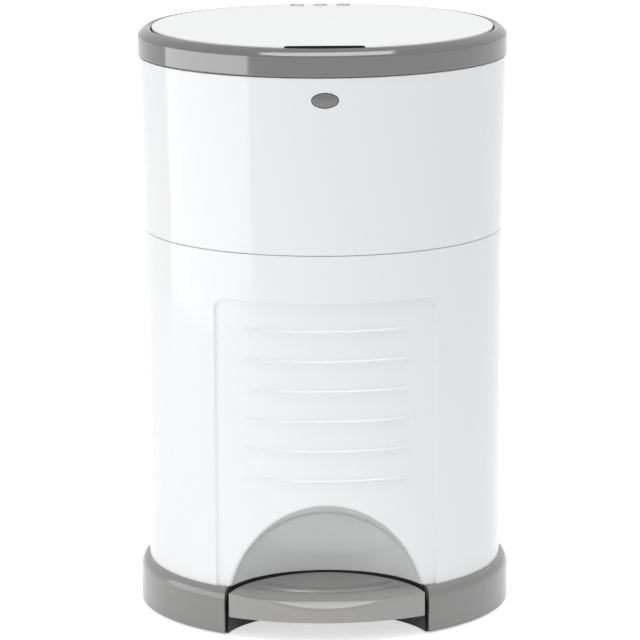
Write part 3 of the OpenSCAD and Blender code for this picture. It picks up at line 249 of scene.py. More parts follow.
def shader_group(name, inputs, outputs):
    """An empty shader node group with named sockets, and its input and output nodes."""
    group = bpy.data.node_groups.new(name, "ShaderNodeTree")
    for label, value in inputs:
        socket = group.interface.new_socket(label, in_out="INPUT", socket_type="NodeSocketFloat")
        socket.default_value = value
    for label in outputs:
        group.interface.new_socket(label, in_out="OUTPUT", socket_type="NodeSocketFloat")
    return group, group.nodes.new("NodeGroupInput"), group.nodes.new("NodeGroupOutput")


def noise_node(tree, scale, detail, roughness=0.5, vector=None):
    """A noise texture on object coordinates; scale is a number or an output socket."""
    texture = tree.nodes.new("ShaderNodeTexNoise")
    texture.inputs["Detail"].default_value = detail
    texture.inputs["Roughness"].default_value = roughness
    if isinstance(scale, (int, float)):
        texture.inputs["Scale"].default_value = scale
    else:
        tree.links.new(scale, texture.inputs["Scale"])
    if vector is None:
        coordinates = tree.nodes.new("ShaderNodeTexCoord")
        vector = coordinates.outputs["Object"]
    tree.links.new(vector, texture.inputs["Vector"])
    return texture.outputs[0]


def colour_mix(tree, share, first, second):
    """A mix of two colours, each a plain one or another node's output."""
    mix = tree.nodes.new("ShaderNodeMix")
    mix.data_type = "RGBA"
    tree.links.new(share, mix.inputs[0])
    for socket, colour in ((mix.inputs[6], first), (mix.inputs[7], second)):
        if isinstance(colour, tuple):
            socket.default_value = (*colour, 1)
        else:
            tree.links.new(colour, socket)
    return mix.outputs[2]


def dress(tree, shader, colour, roughness, height, depth):
    """Links a colour, a roughness and a relief of the given depth to a shader."""
    tree.links.new(colour, shader.inputs["Base Color"])
    tree.links.new(roughness, shader.inputs["Roughness"])
    bump = tree.nodes.new("ShaderNodeBump")
    bump.inputs["Distance"].default_value = depth
    tree.links.new(height, bump.inputs["Height"])
    tree.links.new(bump.outputs[0], shader.inputs["Normal"])


# Moulded plastic: a fine grain or orange peel, a slow mottle of the colour and
# faint rubbed patches, each as a value that the material weighs for itself.
mottle_scale, rub_scale, rub_from, rub_contrast = 9.0, 34.0, 0.52, 5.0
moulding, group_in, group_out = shader_group(
    "moulded_surface", [("Grain Scale", 600.0), ("Peel Scale", 70.0), ("Peel Share", 0.5)],
    ["Height", "Mottle", "Rub"])
grain = noise_node(moulding, group_in.outputs["Grain Scale"], 3.0)
peel = noise_node(moulding, group_in.outputs["Peel Scale"], 1.0)
peel_part = math_node(moulding, "MULTIPLY", peel, group_in.outputs["Peel Share"])
height_sum = math_node(moulding, "ADD", grain, peel_part)
moulding.links.new(height_sum, group_out.inputs["Height"])
moulding.links.new(noise_node(moulding, mottle_scale, 4.0, 0.6), group_out.inputs["Mottle"])
rub = math_node(moulding, "SUBTRACT", noise_node(moulding, rub_scale, 5.0, 0.7), rub_from)
moulding.links.new(math_node(moulding, "MULTIPLY", rub, rub_contrast, clamp=True),
                   group_out.inputs["Rub"])

# Dust lies where a surface looks up, in soft patches, and dulls the gloss.
dust_colour, dust_dulls = (0.62, 0.61, 0.59), 0.5
dust_lies_from, dust_lies_rise, dust_patch_scale = 0.55, 2.2, 120.0
dusting, group_in, group_out = shader_group("settled_dust", [("Amount", 0.3)], ["Dust"])
geometry = dusting.nodes.new("ShaderNodeNewGeometry")
split = dusting.nodes.new("ShaderNodeSeparateXYZ")
dusting.links.new(geometry.outputs["Normal"], split.inputs[0])
level = math_node(dusting, "SUBTRACT", split.outputs["Z"], dust_lies_from)
upward = math_node(dusting, "MULTIPLY", level, dust_lies_rise, clamp=True)
patchy = math_node(dusting, "MULTIPLY", upward, noise_node(dusting, dust_patch_scale, 6.0, 0.75))
dusting.links.new(math_node(dusting, "MULTIPLY", patchy, group_in.outputs["Amount"]),
                  group_out.inputs["Dust"])

finishes = {}


def new_finish(slot):
    """A finish for one slot. Returns its node tree and its shader."""
    material = bpy.data.materials.new(slot)
    material.use_nodes = True
    finishes[slot] = material
    return material.node_tree, material.node_tree.nodes["Principled BSDF"]


def moulded_plastic(slot, colour, tint, roughness, rub_gain, grain, depth, dust,
                    specular=0.5, ior=1.5):
    """The finish of one kind of moulded plastic: its colour drifts a little towards
    tint, rubbed patches change the gloss, and dust dulls what faces upwards."""
    tree, shader = new_finish(slot)
    surface = tree.nodes.new("ShaderNodeGroup")
    surface.node_tree = moulding
    for label, value in zip(("Grain Scale", "Peel Scale", "Peel Share"), grain):
        surface.inputs[label].default_value = value
    settled = tree.nodes.new("ShaderNodeGroup")
    settled.node_tree = dusting
    settled.inputs["Amount"].default_value = dust
    clean = colour_mix(tree, surface.outputs["Mottle"], colour, tint)
    dusty = colour_mix(tree, settled.outputs["Dust"], clean, dust_colour)
    rubbed = math_node(tree, "ADD", math_node(tree, "MULTIPLY", surface.outputs["Rub"], rub_gain),
                       roughness)
    dulled = math_node(tree, "MULTIPLY", settled.outputs["Dust"], dust_dulls)
    dress(tree, shader, dusty, math_node(tree, "ADD", rubbed, dulled, clamp=True),
          surface.outputs["Height"], depth)
    shader.inputs["Specular IOR Level"].default_value = specular
    shader.inputs["IOR"].default_value = ior


moulded_plastic("white_gloss", (0.86, 0.862, 0.865), (0.845, 0.846, 0.848), 0.10, 0.03,
                grain=(420.0, 46.0, 1.6), depth=0.000006, dust=0.04)


def rounded_box_distance(x, z, half_w, half_h, mid_z, corner):
    """Signed distance from a rounded rectangle's edge, negative inside."""
    qx = np.abs(x) - half_w + corner
    qz = np.abs(z - mid_z) - half_h + corner
    outside = np.hypot(np.maximum(qx, 0), np.maximum(qz, 0))
    return outside + np.minimum(np.maximum(qx, qz), 0) - corner


panel_half_h = 150.0
panel_mid_z = panel_top_z - panel_half_h


def lower_taper(z):
    share = (z - base_top_z) / (seam_z - base_top_z)
    return lower_foot_r + (lower_top_r - lower_foot_r) * share


def panel_distance(x, z):
    return rounded_box_distance(x, z, panel_half_w, panel_half_h, panel_mid_z, panel_corner)


def ease(t):
    """0 to 1 along half a cosine wave."""
    return 0.5 - 0.5 * np.cos(np.pi * np.clip(t, 0, 1))


def edge_drop(distance, radius):
    """How far a rounded edge has fallen away, that far from the corner."""
    t = np.clip(radius - distance, 0, radius)
    return radius - np.sqrt(radius * radius - t * t)


def quarter_round(radius, steps):
    """Inset and drop at each step over a rounded edge, from its top to its side."""
    return [(radius * (1 - math.sin(a)), radius * (1 - math.cos(a)))
            for a in np.linspace(0, math.pi / 2, steps)]


def last_good(test, low, high, steps=50):
    """The last value from low up that passes a test which fails at high, by halving."""
    for _ in range(steps):
        middle = (low + high) / 2
        if test(middle):
            low = middle
        else:
            high = middle
    return low


def grid(across, up):
    """Every place of a flat grid, as two flat lists."""
    return (a.ravel() for a in np.meshgrid(across, up))


lip_round = 0.6


def lower_outer(u, v):
    theta = u / wrap_r
    r = lower_taper(v)
    x = r * np.sin(theta)
    front = np.cos(theta) > 0
    sunk = ease((panel_slope - panel_distance(x, v)) / (2 * panel_slope)) * panel_depth
    raised = np.zeros_like(r)
    for z in rib_heights:
        from_rib = np.hypot(np.maximum(np.abs(x) - rib_half_l + rib_half_h, 0), v - z) / rib_half_h
        raised += rib_proud * ease(1 - from_rib)
    return r + np.where(front, raised - sunk, 0) - edge_drop(seam_z - v, lip_round)


def lower_inner(u, v):
    theta = u / wrap_r
    r = lower_taper(v)
    x = r * np.sin(theta)
    sunk = ease((wall_t + 2 - panel_distance(x, v)) / 4) * panel_depth
    return r - wall_t - np.where(np.cos(theta) > 0, sunk, 0)


def on_wall(radius, u, v):
    """Points in space for unrolled places on a wall."""
    theta = np.asarray(u) / wrap_r
    r = radius(np.asarray(u, float), np.asarray(v, float))
    return np.stack([r * np.sin(theta), -r * np.cos(theta), np.asarray(v, float)], 1)


def wall_normals(radius, u, v, step=0.02):
    """Outward normals of a wall, from the slope of its radius."""
    u, v = np.asarray(u, float), np.asarray(v, float)
    along = on_wall(radius, u + step, v) - on_wall(radius, u - step, v)
    up = on_wall(radius, u, v + step) - on_wall(radius, u, v - step)
    n = np.cross(along, up)
    return n / np.linalg.norm(n, axis=1)[:, None]


def panel_path(offset, spacing=4.0):
    """The sunk panel's edge in x and z, moved outwards by an offset: up, over and down."""
    reach = panel_half_w + offset
    turn = panel_corner + offset
    top = panel_top_z + offset
    side = [(reach, z) for z in np.arange(base_top_z, top - turn, spacing)]
    bend = [(reach - turn + turn * math.cos(a), top - turn + turn * math.sin(a))
            for a in np.linspace(0, math.pi / 2, 10)]
    across = [(x, top) for x in np.linspace(reach - turn, 0, 20)[1:]]
    half = side + bend + across
    return half + [(-x, z) for x, z in half[-2::-1]]


def rib_path(z, share):
    """The outline of one rib at a share of its half width; at 0 it is its middle line."""
    r = rib_half_h * share
    end = rib_half_l - rib_half_h
    if share == 0:
        return [(x, z) for x in np.linspace(-end, end, 27)]
    top = [(x, z + r) for x in np.linspace(end, -end, 27)]
    left = [(-end + r * math.cos(a), z + r * math.sin(a))
            for a in np.linspace(math.pi / 2, 3 * math.pi / 2, 9)[1:-1]]
    low = [(-x, z - r) for x, _ in top]
    right = [(-x, 2 * z - y) for x, y in left]
    return top + left + low + right + top[:1]


def unrolled(path, taper):
    return [(wrap_r * math.asin(x / taper(z)), z) for x, z in path]


def triangulate(paths, loose):
    """A flat triangulation through every path and every loose point."""
    points, edges = [], []
    for path in paths:
        start = len(points)
        points.extend(path)
        edges.extend((i, i + 1) for i in range(start, len(points) - 1))
    points.extend(loose)
    out = delaunay_2d_cdt([tuple(map(float, p)) for p in points], edges, [], 0, 1e-4)
    flat = np.array([tuple(p) for p in out[0]])
    triangles = np.array([f for f in out[2] if len(f) == 3])
    a, b, c = (flat[triangles[:, k]] for k in range(3))
    turn = (b - a)[:, 0] * (c - a)[:, 1] - (b - a)[:, 1] * (c - a)[:, 0]
    triangles[turn < 0] = triangles[turn < 0][:, ::-1]
    return flat, triangles[np.abs(turn) > 1e-9]


def only_used(points, faces):
    """The points that the faces use, and the faces with the new numbers of their points."""
    used = sorted({int(i) for face in faces for i in face})
    renumber = {old: new for new, old in enumerate(used)}
    return [points[i] for i in used], [tuple(renumber[int(i)] for i in face) for face in faces]


def slerp(n1, n2, t):
    angle = math.acos(max(-1.0, min(1.0, float(n1 @ n2))))
    return (n1 * math.sin((1 - t) * angle) + n2 * math.sin(t * angle)) / math.sin(angle)


# The foot well's surface, one line for each step round the arch: over the rounded
# edge, back along the sloping roof, round the crease and down the upright wall.
tunnel_down = np.array([0.0, math.cos(arch_slope), -math.sin(arch_slope)])
tunnel_up = np.array([0.0, math.sin(arch_slope), math.cos(arch_slope)])
edge_steps, roof_steps, crease_steps, drop_steps = 10, 14, 8, 8


def arch_line(phi):
    """Points, normals and the unrolled start of the well's line at an angle round the arch."""
    side = np.array([math.sin(phi), 0, 0]) + math.cos(phi) * tunnel_up
    start = arch_centre + arch_r * side

    def outside_wall(s):
        p = start + s * tunnel_down
        return math.hypot(p[0], p[1]) > lower_taper(p[2]) - panel_depth

    edge = start + last_good(outside_wall, -60.0, 60.0) * tunnel_down
    out = np.array([edge[0], edge[1], 0]) / math.hypot(edge[0], edge[1])
    roof = -side
    ball = edge - arch_edge_round * (out + roof) / (1 + out @ roof)
    normals = [slerp(out, roof, t) for t in np.linspace(0, 1, edge_steps)]
    points = [ball + arch_edge_round * n for n in normals]
    begin = points[-1]

    def inside_well(s):
        p = begin + s * tunnel_down
        return math.hypot(p[0], p[1] - well_centre_y) < well_r and p[2] > 0

    meet = begin + last_good(inside_well, 0.0, 200.0) * tunnel_down
    wall = -np.array([meet[0], meet[1] - well_centre_y, 0]) / well_r
    hollow = meet + crease_round * (roof + wall) / (1 + roof @ wall)
    bend = [(hollow - crease_round * slerp(roof, wall, t), slerp(roof, wall, t))
            for t in np.linspace(0, 1, crease_steps)]
    for t in np.linspace(0, 1, roof_steps)[1:-1]:
        points.append(begin + t * (bend[0][0] - begin))
        normals.append(roof)
    points.extend(p for p, _ in bend)
    normals.extend(n for _, n in bend)
    foot = points[-1]
    for t in np.linspace(0, 1, drop_steps + 1)[1:]:
        points.append(np.array([foot[0], foot[1], foot[2] + t * (base_top_z - foot[2])]))
        normals.append(wall)
    points, normals = np.array(points), np.array(normals)
    behind = points - wall_t * normals
    behind[:edge_steps] = edge - wall_t * (out + roof) / (1 + out @ roof)
    below = np.nonzero(points[:, 2] < base_top_z)[0]
    if len(below) and foot[2] < base_top_z:
        k = max(below[0], 1)
        share = (points[k - 1, 2] - base_top_z) / max(points[k - 1, 2] - points[k, 2], 1e-9)
        points[k:] = points[k - 1] + share * (points[k] - points[k - 1])
        behind[k:] = points[k] - wall_t * roof
    points[:, 2] = np.maximum(points[:, 2], base_top_z)
    behind[:, 2] = np.where(points[:, 2] < base_top_z + 1e-5, base_top_z,
                            np.maximum(behind[:, 2], base_top_z))
    return points, normals, behind


# The arch stops where its edge meets the top of the base ring.
foot_angle = last_good(lambda phi: arch_line(phi)[0][0][2] > base_top_z + 1e-6,
                       math.radians(60), math.radians(100), 40)
arch_lines = [arch_line(phi) for phi in foot_angle * np.linspace(-1, 1, 121)]
arch_u = np.array([wrap_r * math.atan2(p[0][0], -p[0][1]) for p, _, _ in arch_lines])
arch_v = np.array([p[0][2] for p, _, _ in arch_lines])
arch_v[0] = arch_v[-1] = base_top_z

half_turn = math.pi * wrap_r
ring_u = np.linspace(-half_turn, half_turn, 181)
fill_rise = 7.1     # height between the loose points that even out a wall's triangles
clear_of_panel, clear_of_rib, clear_of_seam, clear_of_arch = 4.5, 4.0, 3.0, (2.0, 3.0)
panel_lines = (-2.4, -0.75, -0.6, -0.42, -0.2, 0, 0.2, 0.42, 0.6, 0.75, 2.4)
rib_lines = (0, 0.2, 0.4, 0.6, 0.8, 1.0, 1.3)
hinge_notch_half, hinge_notch_z = 12.5, 287.6
notch_u = half_turn - hinge_notch_half
edge_steps_in = (0, 0.06, 0.18, 0.36, 0.6)
paths = [[(u, seam_z - drop) for u in ring_u] for drop in edge_steps_in]
paths.append([(u, base_top_z) for u in (-half_turn, half_turn)])
paths.append(list(zip(arch_u, arch_v)))
for side in (-1, 1):
    paths.append([(side * notch_u, seam_z), (side * notch_u, hinge_notch_z),
                  (side * half_turn, hinge_notch_z)])
    paths.append([(side * half_turn, z) for z in np.arange(base_top_z, hinge_notch_z, 8.0)])
for offset in panel_lines:
    paths.append(unrolled(panel_path(offset), lower_taper))
for z in rib_heights:
    for share in rib_lines:
        paths.append(unrolled(rib_path(z, share), lower_taper))
fill_u, fill_v = grid(ring_u[1:-1], np.arange(base_top_z, seam_z, fill_rise))
fill_x = lower_taper(fill_v) * np.sin(fill_u / wrap_r)
keep = np.cos(fill_u / wrap_r) < 0
keep |= np.abs(panel_distance(fill_x, fill_v)) > clear_of_panel
for z in rib_heights:
    keep &= ~((np.abs(fill_v - z) < clear_of_rib) & (np.abs(fill_x) < rib_half_l + clear_of_rib)
              & (np.cos(fill_u / wrap_r) > 0))
keep &= fill_v < seam_z - clear_of_seam
keep &= ((np.abs(fill_u) > arch_u[-1] + clear_of_arch[0])
         | (fill_v > np.interp(fill_u, arch_u, arch_v) + clear_of_arch[1]))
flat, triangles = triangulate(paths, list(zip(fill_u[keep], fill_v[keep])))
middle = flat[triangles].mean(1)
inside = (np.abs(middle[:, 0]) > arch_u[-1]) | (
    middle[:, 1] > np.interp(middle[:, 0], arch_u, arch_v))
inside &= (np.abs(middle[:, 0]) < notch_u) | (middle[:, 1] < hinge_notch_z)
triangles = triangles[inside]


def shell_from(outer, inner, normals, faces):
    """Closes a skin into a wall: the inner twin of every point lies behind it, and the
    open edges are joined. Returns points, normals and faces for finish_mesh."""
    count = len(outer)
    keys = np.round(outer * merge_per_mm).astype(np.int64)
    merged = np.unique(keys, axis=0, return_inverse=True)[1].ravel()
    used = {}
    turned = []
    for face in faces:
        p = outer[list(face)]
        n = np.cross(p[1] - p[0], p[2] - p[0])
        if len(face) == 4:
            n = n + np.cross(p[2] - p[0], p[3] - p[0])
        face = tuple(face) if n @ normals[list(face)].sum(0) >= 0 else tuple(face)[::-1]
        ring = [i for k, i in enumerate(face) if merged[i] != merged[face[k - 1]]]
        if len(ring) < 3:
            continue
        turned.append(tuple(ring))
        for k, i in enumerate(ring):
            j = ring[(k + 1) % len(ring)]
            used[(merged[i], merged[j])] = (i, j)
    made = list(turned) + [tuple(i + count for i in face[::-1]) for face in turned]
    rims = []
    for (a, b), (i, j) in used.items():
        if (b, a) not in used:
            rims.append(len(made))
            made.append((j, i, i + count, j + count))
    return np.vstack([outer, inner]), np.vstack([normals, -normals]), made, rims


# Near the arch the inner skin is pushed away from it, so that it meets the back of
# the well's own wall.
push_reach, push_extra = 14.0, 0.3
u, v = flat[:, 0], flat[:, 1]
outer = on_wall(lower_outer, u, v)
normals = wall_normals(lower_outer, u, np.minimum(v, seam_z - 0.03))
to_arch = flat[:, None, :] - np.stack([arch_u, arch_v], 1)[None]
distance = np.linalg.norm(to_arch, axis=2)
nearest = distance.argmin(1)
gap = distance.min(1)
away = to_arch[np.arange(len(flat)), nearest] / np.maximum(gap, 1e-6)[:, None]
share = np.clip(1 - gap / push_reach, 0, 1) * np.where(gap > 1e-3, 1, 0)
push = (wall_t + push_extra) * share[:, None]
moved = flat + away * push
moved[:, 1] = np.where(v < base_top_z + 1e-6, v, moved[:, 1])
inner = on_wall(lower_inner, moved[:, 0], moved[:, 1])
line_points = np.array([p for p, _, _ in arch_lines])
line_normals = np.array([n for _, n, _ in arch_lines])
behind = np.array([b for _, _, b in arch_lines])
rows, columns = line_points.shape[:2]
on_arch = [int(np.argmin(np.hypot(u - arch_u[k], v - arch_v[k]))) for k in range(rows)]
line_points[:, 0] = outer[on_arch]
inner[on_arch] = behind[:, 0]
normals[on_arch] = line_normals[:, 0]
start = len(outer)
faces = [tuple(t) for t in triangles]
for i in range(rows - 1):
    for j in range(columns - 1):
        a, b = start + i * columns + j, start + (i + 1) * columns + j
        faces.append((a, b, b + 1, a + 1))
points, all_normals, faces, rims = shell_from(
    np.vstack([outer, line_points.reshape(-1, 3)]), np.vstack([inner, behind.reshape(-1, 3)]),
    np.vstack([normals, line_normals.reshape(-1, 3)]), faces)
finish_mesh("lower_body_wall", points, faces, "root", "white_gloss", ("lower_shell",),
            all_normals, rims)


def round_corners(corners, radius, steps=4, closed=True):
    """Softens the corners of an outline. A corner may carry its own radius as a third
    number, and every corner gives the same number of points whatever its size."""
    out = []
    count = len(corners)
    for k, corner in enumerate(corners):
        here = np.array(corner[:2], float)
        r = corner[2] if len(corner) > 2 else radius
        if not closed and k in (0, count - 1) or r == 0:
            out.append(tuple(here))
            continue
        before = np.array(corners[k - 1][:2], float) - here
        after = np.array(corners[(k + 1) % count][:2], float) - here
        l1, l2 = np.linalg.norm(before), np.linalg.norm(after)
        d1, d2 = before / l1, after / l2
        half = math.acos(max(-1.0, min(1.0, float(d1 @ d2)))) / 2
        if half > math.radians(82):
            out.append(tuple(here))
            continue
        back_off = min(r / math.tan(half), 0.46 * l1, 0.46 * l2)
        r = back_off * math.tan(half)
        centre = here + (d1 + d2) / np.linalg.norm(d1 + d2) * r / math.sin(half)
        a = (here + d1 * back_off - centre) / r
        b = (here + d2 * back_off - centre) / r
        out.extend(tuple(centre + r * slerp(a, b, t)) for t in np.linspace(0, 1, steps + 1))
    return out


def turned(profile, steps=240, begin=None):
    """Points and faces of a closed outline of (radius, z) turned round the upright
    axis. begin gives the angle from the front at which each point's arc starts."""
    count = len(profile)
    points, faces = [], []
    rings = steps if begin is None else steps + 1
    for i in range(rings):
        for k, (r, z) in enumerate(profile):
            start = 0 if begin is None else begin(r)
            a = start + (2 * math.pi - 2 * start) * i / steps
            points.append((r * math.sin(a), -r * math.cos(a), z))
    for i in range(steps):
        j = (i + 1) % rings
        for k in range(count):
            m = (k + 1) % count
            faces.append((i * count + k, j * count + k, j * count + m, i * count + m))
    if begin is not None:
        faces.append(tuple(range(count)))
        faces.append(tuple(steps * count + k for k in range(count))[::-1])
    return points, faces


def stacked(loops):
    """Points and faces of a closed solid through loops of equal length, one on the next."""
    count = len(loops[0])
    points = [p for loop in loops for p in loop]
    faces = []
    for i in range(len(loops) - 1):
        for k in range(count):
            m = (k + 1) % count
            faces.append((i * count + k, i * count + m, (i + 1) * count + m, (i + 1) * count + k))
    faces.append(tuple(range(count))[::-1])
    faces.append(tuple((len(loops) - 1) * count + k for k in range(count)))
    return points, faces


def shrunk(outline, inset):
    """An outline moved inwards by an inset, which is small beside its corners."""
    p = np.asarray(outline, float)
    along = np.roll(p, -1, 0) - np.roll(p, 1, 0)
    across = np.stack([along[:, 1], -along[:, 0]], 1)
    across /= np.linalg.norm(across, axis=1)[:, None]
    area = np.sum(p[:, 0] * np.roll(p[:, 1], -1) - np.roll(p[:, 0], -1) * p[:, 1])
    return p - across * inset * (1 if area > 0 else -1)


def bar_along_x(outline, x0, x1, soft=0.5):
    """A prism along X whose outline is in (y, z), with its end edges rounded."""
    loops = []
    for t in np.linspace(0, math.pi / 2, 4):
        ring = shrunk(outline, soft * (1 - math.sin(t)))
        loops.append([(x0 + soft * (1 - math.cos(t)), y, z) for y, z in ring])
    for t in np.linspace(math.pi / 2, 0, 4):
        ring = shrunk(outline, soft * (1 - math.sin(t)))
        loops.append([(x1 - soft * (1 - math.cos(t)), y, z) for y, z in ring])
    return stacked(loops)


def joined(*parts):
    """Several solids as one list of points and faces."""
    points, faces = [], []
    for some, skins in parts:
        start = len(points)
        points.extend(tuple(p) for p in some)
        faces.extend(tuple(i + start for i in face) for face in skins)
    return points, faces


def arc(centre, radius, start, end, steps):
    return [(centre[0] + radius * math.cos(a), centre[1] + radius * math.sin(a))
            for a in np.linspace(math.radians(start), math.radians(end), steps)]


# The compartment's floor is moulded across the drum behind the foot well, and four
# bosses under it take the screws of the base.
floor_z, floor_t = 40.0, 2.5
floor_edge_r, well_back_r = 133.2, 80.2
boss_r, boss_top, boss_foot, boss_at = 5.0, 41.0, 4.0, 110.3
meet = (floor_edge_r ** 2 + well_centre_y ** 2 - well_back_r ** 2) / (2 * -well_centre_y)
meet_angle = math.degrees(math.acos(meet / floor_edge_r))
back_angle = math.degrees(math.acos((-well_centre_y - meet) / well_back_r))
floor_edge = arc((0, 0), floor_edge_r, -90 + meet_angle, 270 - meet_angle, 150)
floor_edge += arc((0, well_centre_y), well_back_r, 90 + back_angle, 90 - back_angle, 60)[1:-1]
floor_solid = stacked([[(x, y, z) for x, y in shrunk(floor_edge, inset)]
                       for inset, z in ((0.4, floor_z), (0, floor_z + 0.4),
                                        (0, floor_z + floor_t - 0.3), (0.3, floor_z + floor_t))])
bosses = []
for a in (45, 135, 225, 315):
    x, y = boss_at * math.cos(math.radians(a)), boss_at * math.sin(math.radians(a))
    ring = [(x + boss_r * math.cos(b), y + boss_r * math.sin(b))
            for b in np.linspace(0, 2 * math.pi, 33)[:-1]]
    bosses.append(stacked([[(p, q, z) for p, q in ring] for z in (boss_foot, boss_top)]))
points, faces = joined(floor_solid, *bosses)
finish_mesh("compartment_floor", points, faces, "root", "white_gloss", ("lower_shell",))

# The locating lip stands up inside the seam and centres the upper section.
lip_outer_r, lip_t, lip_root_z, lip_top_z = 133.5, 2.0, 284.0, 298.0
lip_foot_r, lip_foot_h = 134.3, 7.0
lip_inner_r = lip_outer_r - lip_t
lip_profile = round_corners(
    [(lip_outer_r, lip_root_z + lip_foot_h), (lip_outer_r, lip_top_z, 0.8),
     (lip_inner_r, lip_top_z, 0.5), (lip_inner_r, lip_root_z),
     (lip_foot_r, lip_root_z), (lip_foot_r, lip_root_z + lip_foot_h)], 0.3)
finish_mesh("locating_lip", *turned(lip_profile), "root", "white_gloss", ("lower_shell",))

# Two outer knuckles of the rear hinge are moulded on the lower drum.
hinge_y, knuckle_r, outer_knuckle, knuckle_web = 138.5, 4.5, (12.5, 28.5), 9.0


def knuckle_outline(sign):
    """Side view of a knuckle whose web runs down (sign -1) or up (sign 1) the wall."""
    barrel = arc((hinge_y, seam_z), knuckle_r, 0, 180 * -sign, 22)
    foot = seam_z + sign * knuckle_web
    return barrel + [(hinge_y - knuckle_r, foot), (hinge_y - 2.2, foot), (hinge_y, foot - 2 * sign)]


knuckles = [bar_along_x(knuckle_outline(-1), *ends)
            for ends in (outer_knuckle, (-outer_knuckle[1], -outer_knuckle[0]))]
finish_mesh("lower_hinge_knuckles", *joined(*knuckles), "root", "white_gloss", ("lower_shell",))

# ---------------------------------------------------------------- upper body
# The upper body is the second white ABS drum, flaring slightly towards the rim. It
# has the oval hole of the release button and notches for the hinge at the back.

upper_foot_r, upper_top_r = 136.7, 139.5
upper_low_z, upper_top_z = 292.4, 424.0
button_z, button_w, button_h, button_end_r, button_gap = 407.6, 19.5, 11.0, 3.8, 0.35
hole_round, upper_round, far_off = 0.5, 0.6, 9.0
hole_lines, clear_of_hole, fill_top_z = (0, 0.05, 0.15, 0.3, 0.5, 1.2), 3.0, 420.0
knuckle_notch, knuckle_notch_z = (12.0, 29.0), 296.9


def oval_parts(grow):
    """Half width, half height, end radius and side radius of the button's outline."""
    a, b, e = button_w / 2 + grow, button_h / 2 + grow, button_end_r + grow
    big = ((a - e) ** 2 + b * b - e * e) / (2 * (b - e))
    return a, b, e, big


def oval_path(grow):
    """The button's outline about its middle: two wide arcs closed by two small ones."""
    side_steps, end_steps = 17, 13
    a, b, e, big = oval_parts(grow)
    split = math.degrees(math.atan2(a - e, big - b))
    top = arc((0, b - big), big, 90 - split, 90 + split, side_steps)
    left = arc((e - a, 0), e, 90 + split, 270 - split, end_steps)
    low = arc((0, big - b), big, 270 - split, 270 + split, side_steps)
    right = arc((a - e, 0), e, -90 + split, 90 - split, end_steps)
    return top[:-1] + left[:-1] + low[:-1] + right[:-1]


def oval_distance(x, z, grow):
    a, b, e, big = oval_parts(grow)
    x, z = np.abs(x), np.abs(z)
    from_side = np.hypot(x, z + big - b) - big
    from_end = np.hypot(x - a + e, z) - e
    return np.where(x * (big - b) < (a - e) * (z + big - b), from_side, from_end)


def upper_taper(z):
    share = (z - seam_z) / (upper_top_z - seam_z)
    return upper_foot_r + (upper_top_r - upper_foot_r) * share


def upper_outer(u, v):
    theta = u / wrap_r
    r = upper_taper(v)
    hole = oval_distance(r * np.sin(theta), v - button_z, button_gap)
    hole = np.where(np.cos(theta) > 0, np.maximum(hole, 0), far_off)
    return (r - edge_drop(v - upper_low_z, upper_round) - edge_drop(upper_top_z - v, upper_round)
            - edge_drop(hole, hole_round))


def upper_inner(u, v):
    return upper_taper(v) - wall_t + 0 * u


paths = [[(u, upper_low_z + d) for u in ring_u] for d in edge_steps_in]
paths += [[(u, upper_top_z - d) for u in ring_u] for d in edge_steps_in]
for side in (-1, 1):
    near, far = (side * (half_turn - x) for x in knuckle_notch)
    paths.append([(near, upper_low_z), (near, knuckle_notch_z), (far, knuckle_notch_z),
                  (far, upper_low_z)])
    paths.append([(side * half_turn, z) for z in np.arange(upper_low_z, upper_top_z, 8.0)])
for grow in hole_lines:
    path = [(x, z + button_z) for x, z in oval_path(button_gap + grow)]
    paths.append(unrolled(path + path[:1], upper_taper))
fill_u, fill_v = grid(ring_u[1:-1], np.arange(upper_low_z + 4, fill_top_z, fill_rise))
fill_x = upper_taper(fill_v) * np.sin(fill_u / wrap_r)
clear = oval_distance(fill_x, fill_v - button_z, 0) > clear_of_hole
clear |= np.cos(fill_u / wrap_r) < 0
flat, triangles = triangulate(paths, list(zip(fill_u[clear], fill_v[clear])))
middle = flat[triangles].mean(1)
from_back = half_turn - np.abs(middle[:, 0])
in_notch = ((from_back > knuckle_notch[0]) & (from_back < knuckle_notch[1])
            & (middle[:, 1] < knuckle_notch_z))
in_hole = np.cos(middle[:, 0] / wrap_r) > 0
in_hole &= oval_distance(upper_taper(middle[:, 1]) * np.sin(middle[:, 0] / wrap_r),
                         middle[:, 1] - button_z, button_gap - 0.01) < 0
flat, faces = only_used(flat, triangles[~in_notch & ~in_hole])
u, v = np.array(flat).T
slope_v = np.clip(v, upper_low_z + 0.03, upper_top_z - 0.03)
points, all_normals, faces, rims = shell_from(
    on_wall(upper_outer, u, v), on_wall(upper_inner, u, v),
    wall_normals(upper_outer, u, slope_v), faces)
finish_mesh("upper_body_wall", points, faces, "upper_section", "white_gloss",
            ("upper_shell",), all_normals, rims)
finish_mesh("upper_hinge_knuckle", *bar_along_x(knuckle_outline(1), -12.0, 12.0),
            "upper_section", "white_gloss", ("upper_shell",))

# ---------------------------------------------------------------- rim ring
# A mid-grey gloss moulding that drops into the top of the upper drum. Its crest is
# rolled over towards the lid, and a shelf inside it carries the funnel.

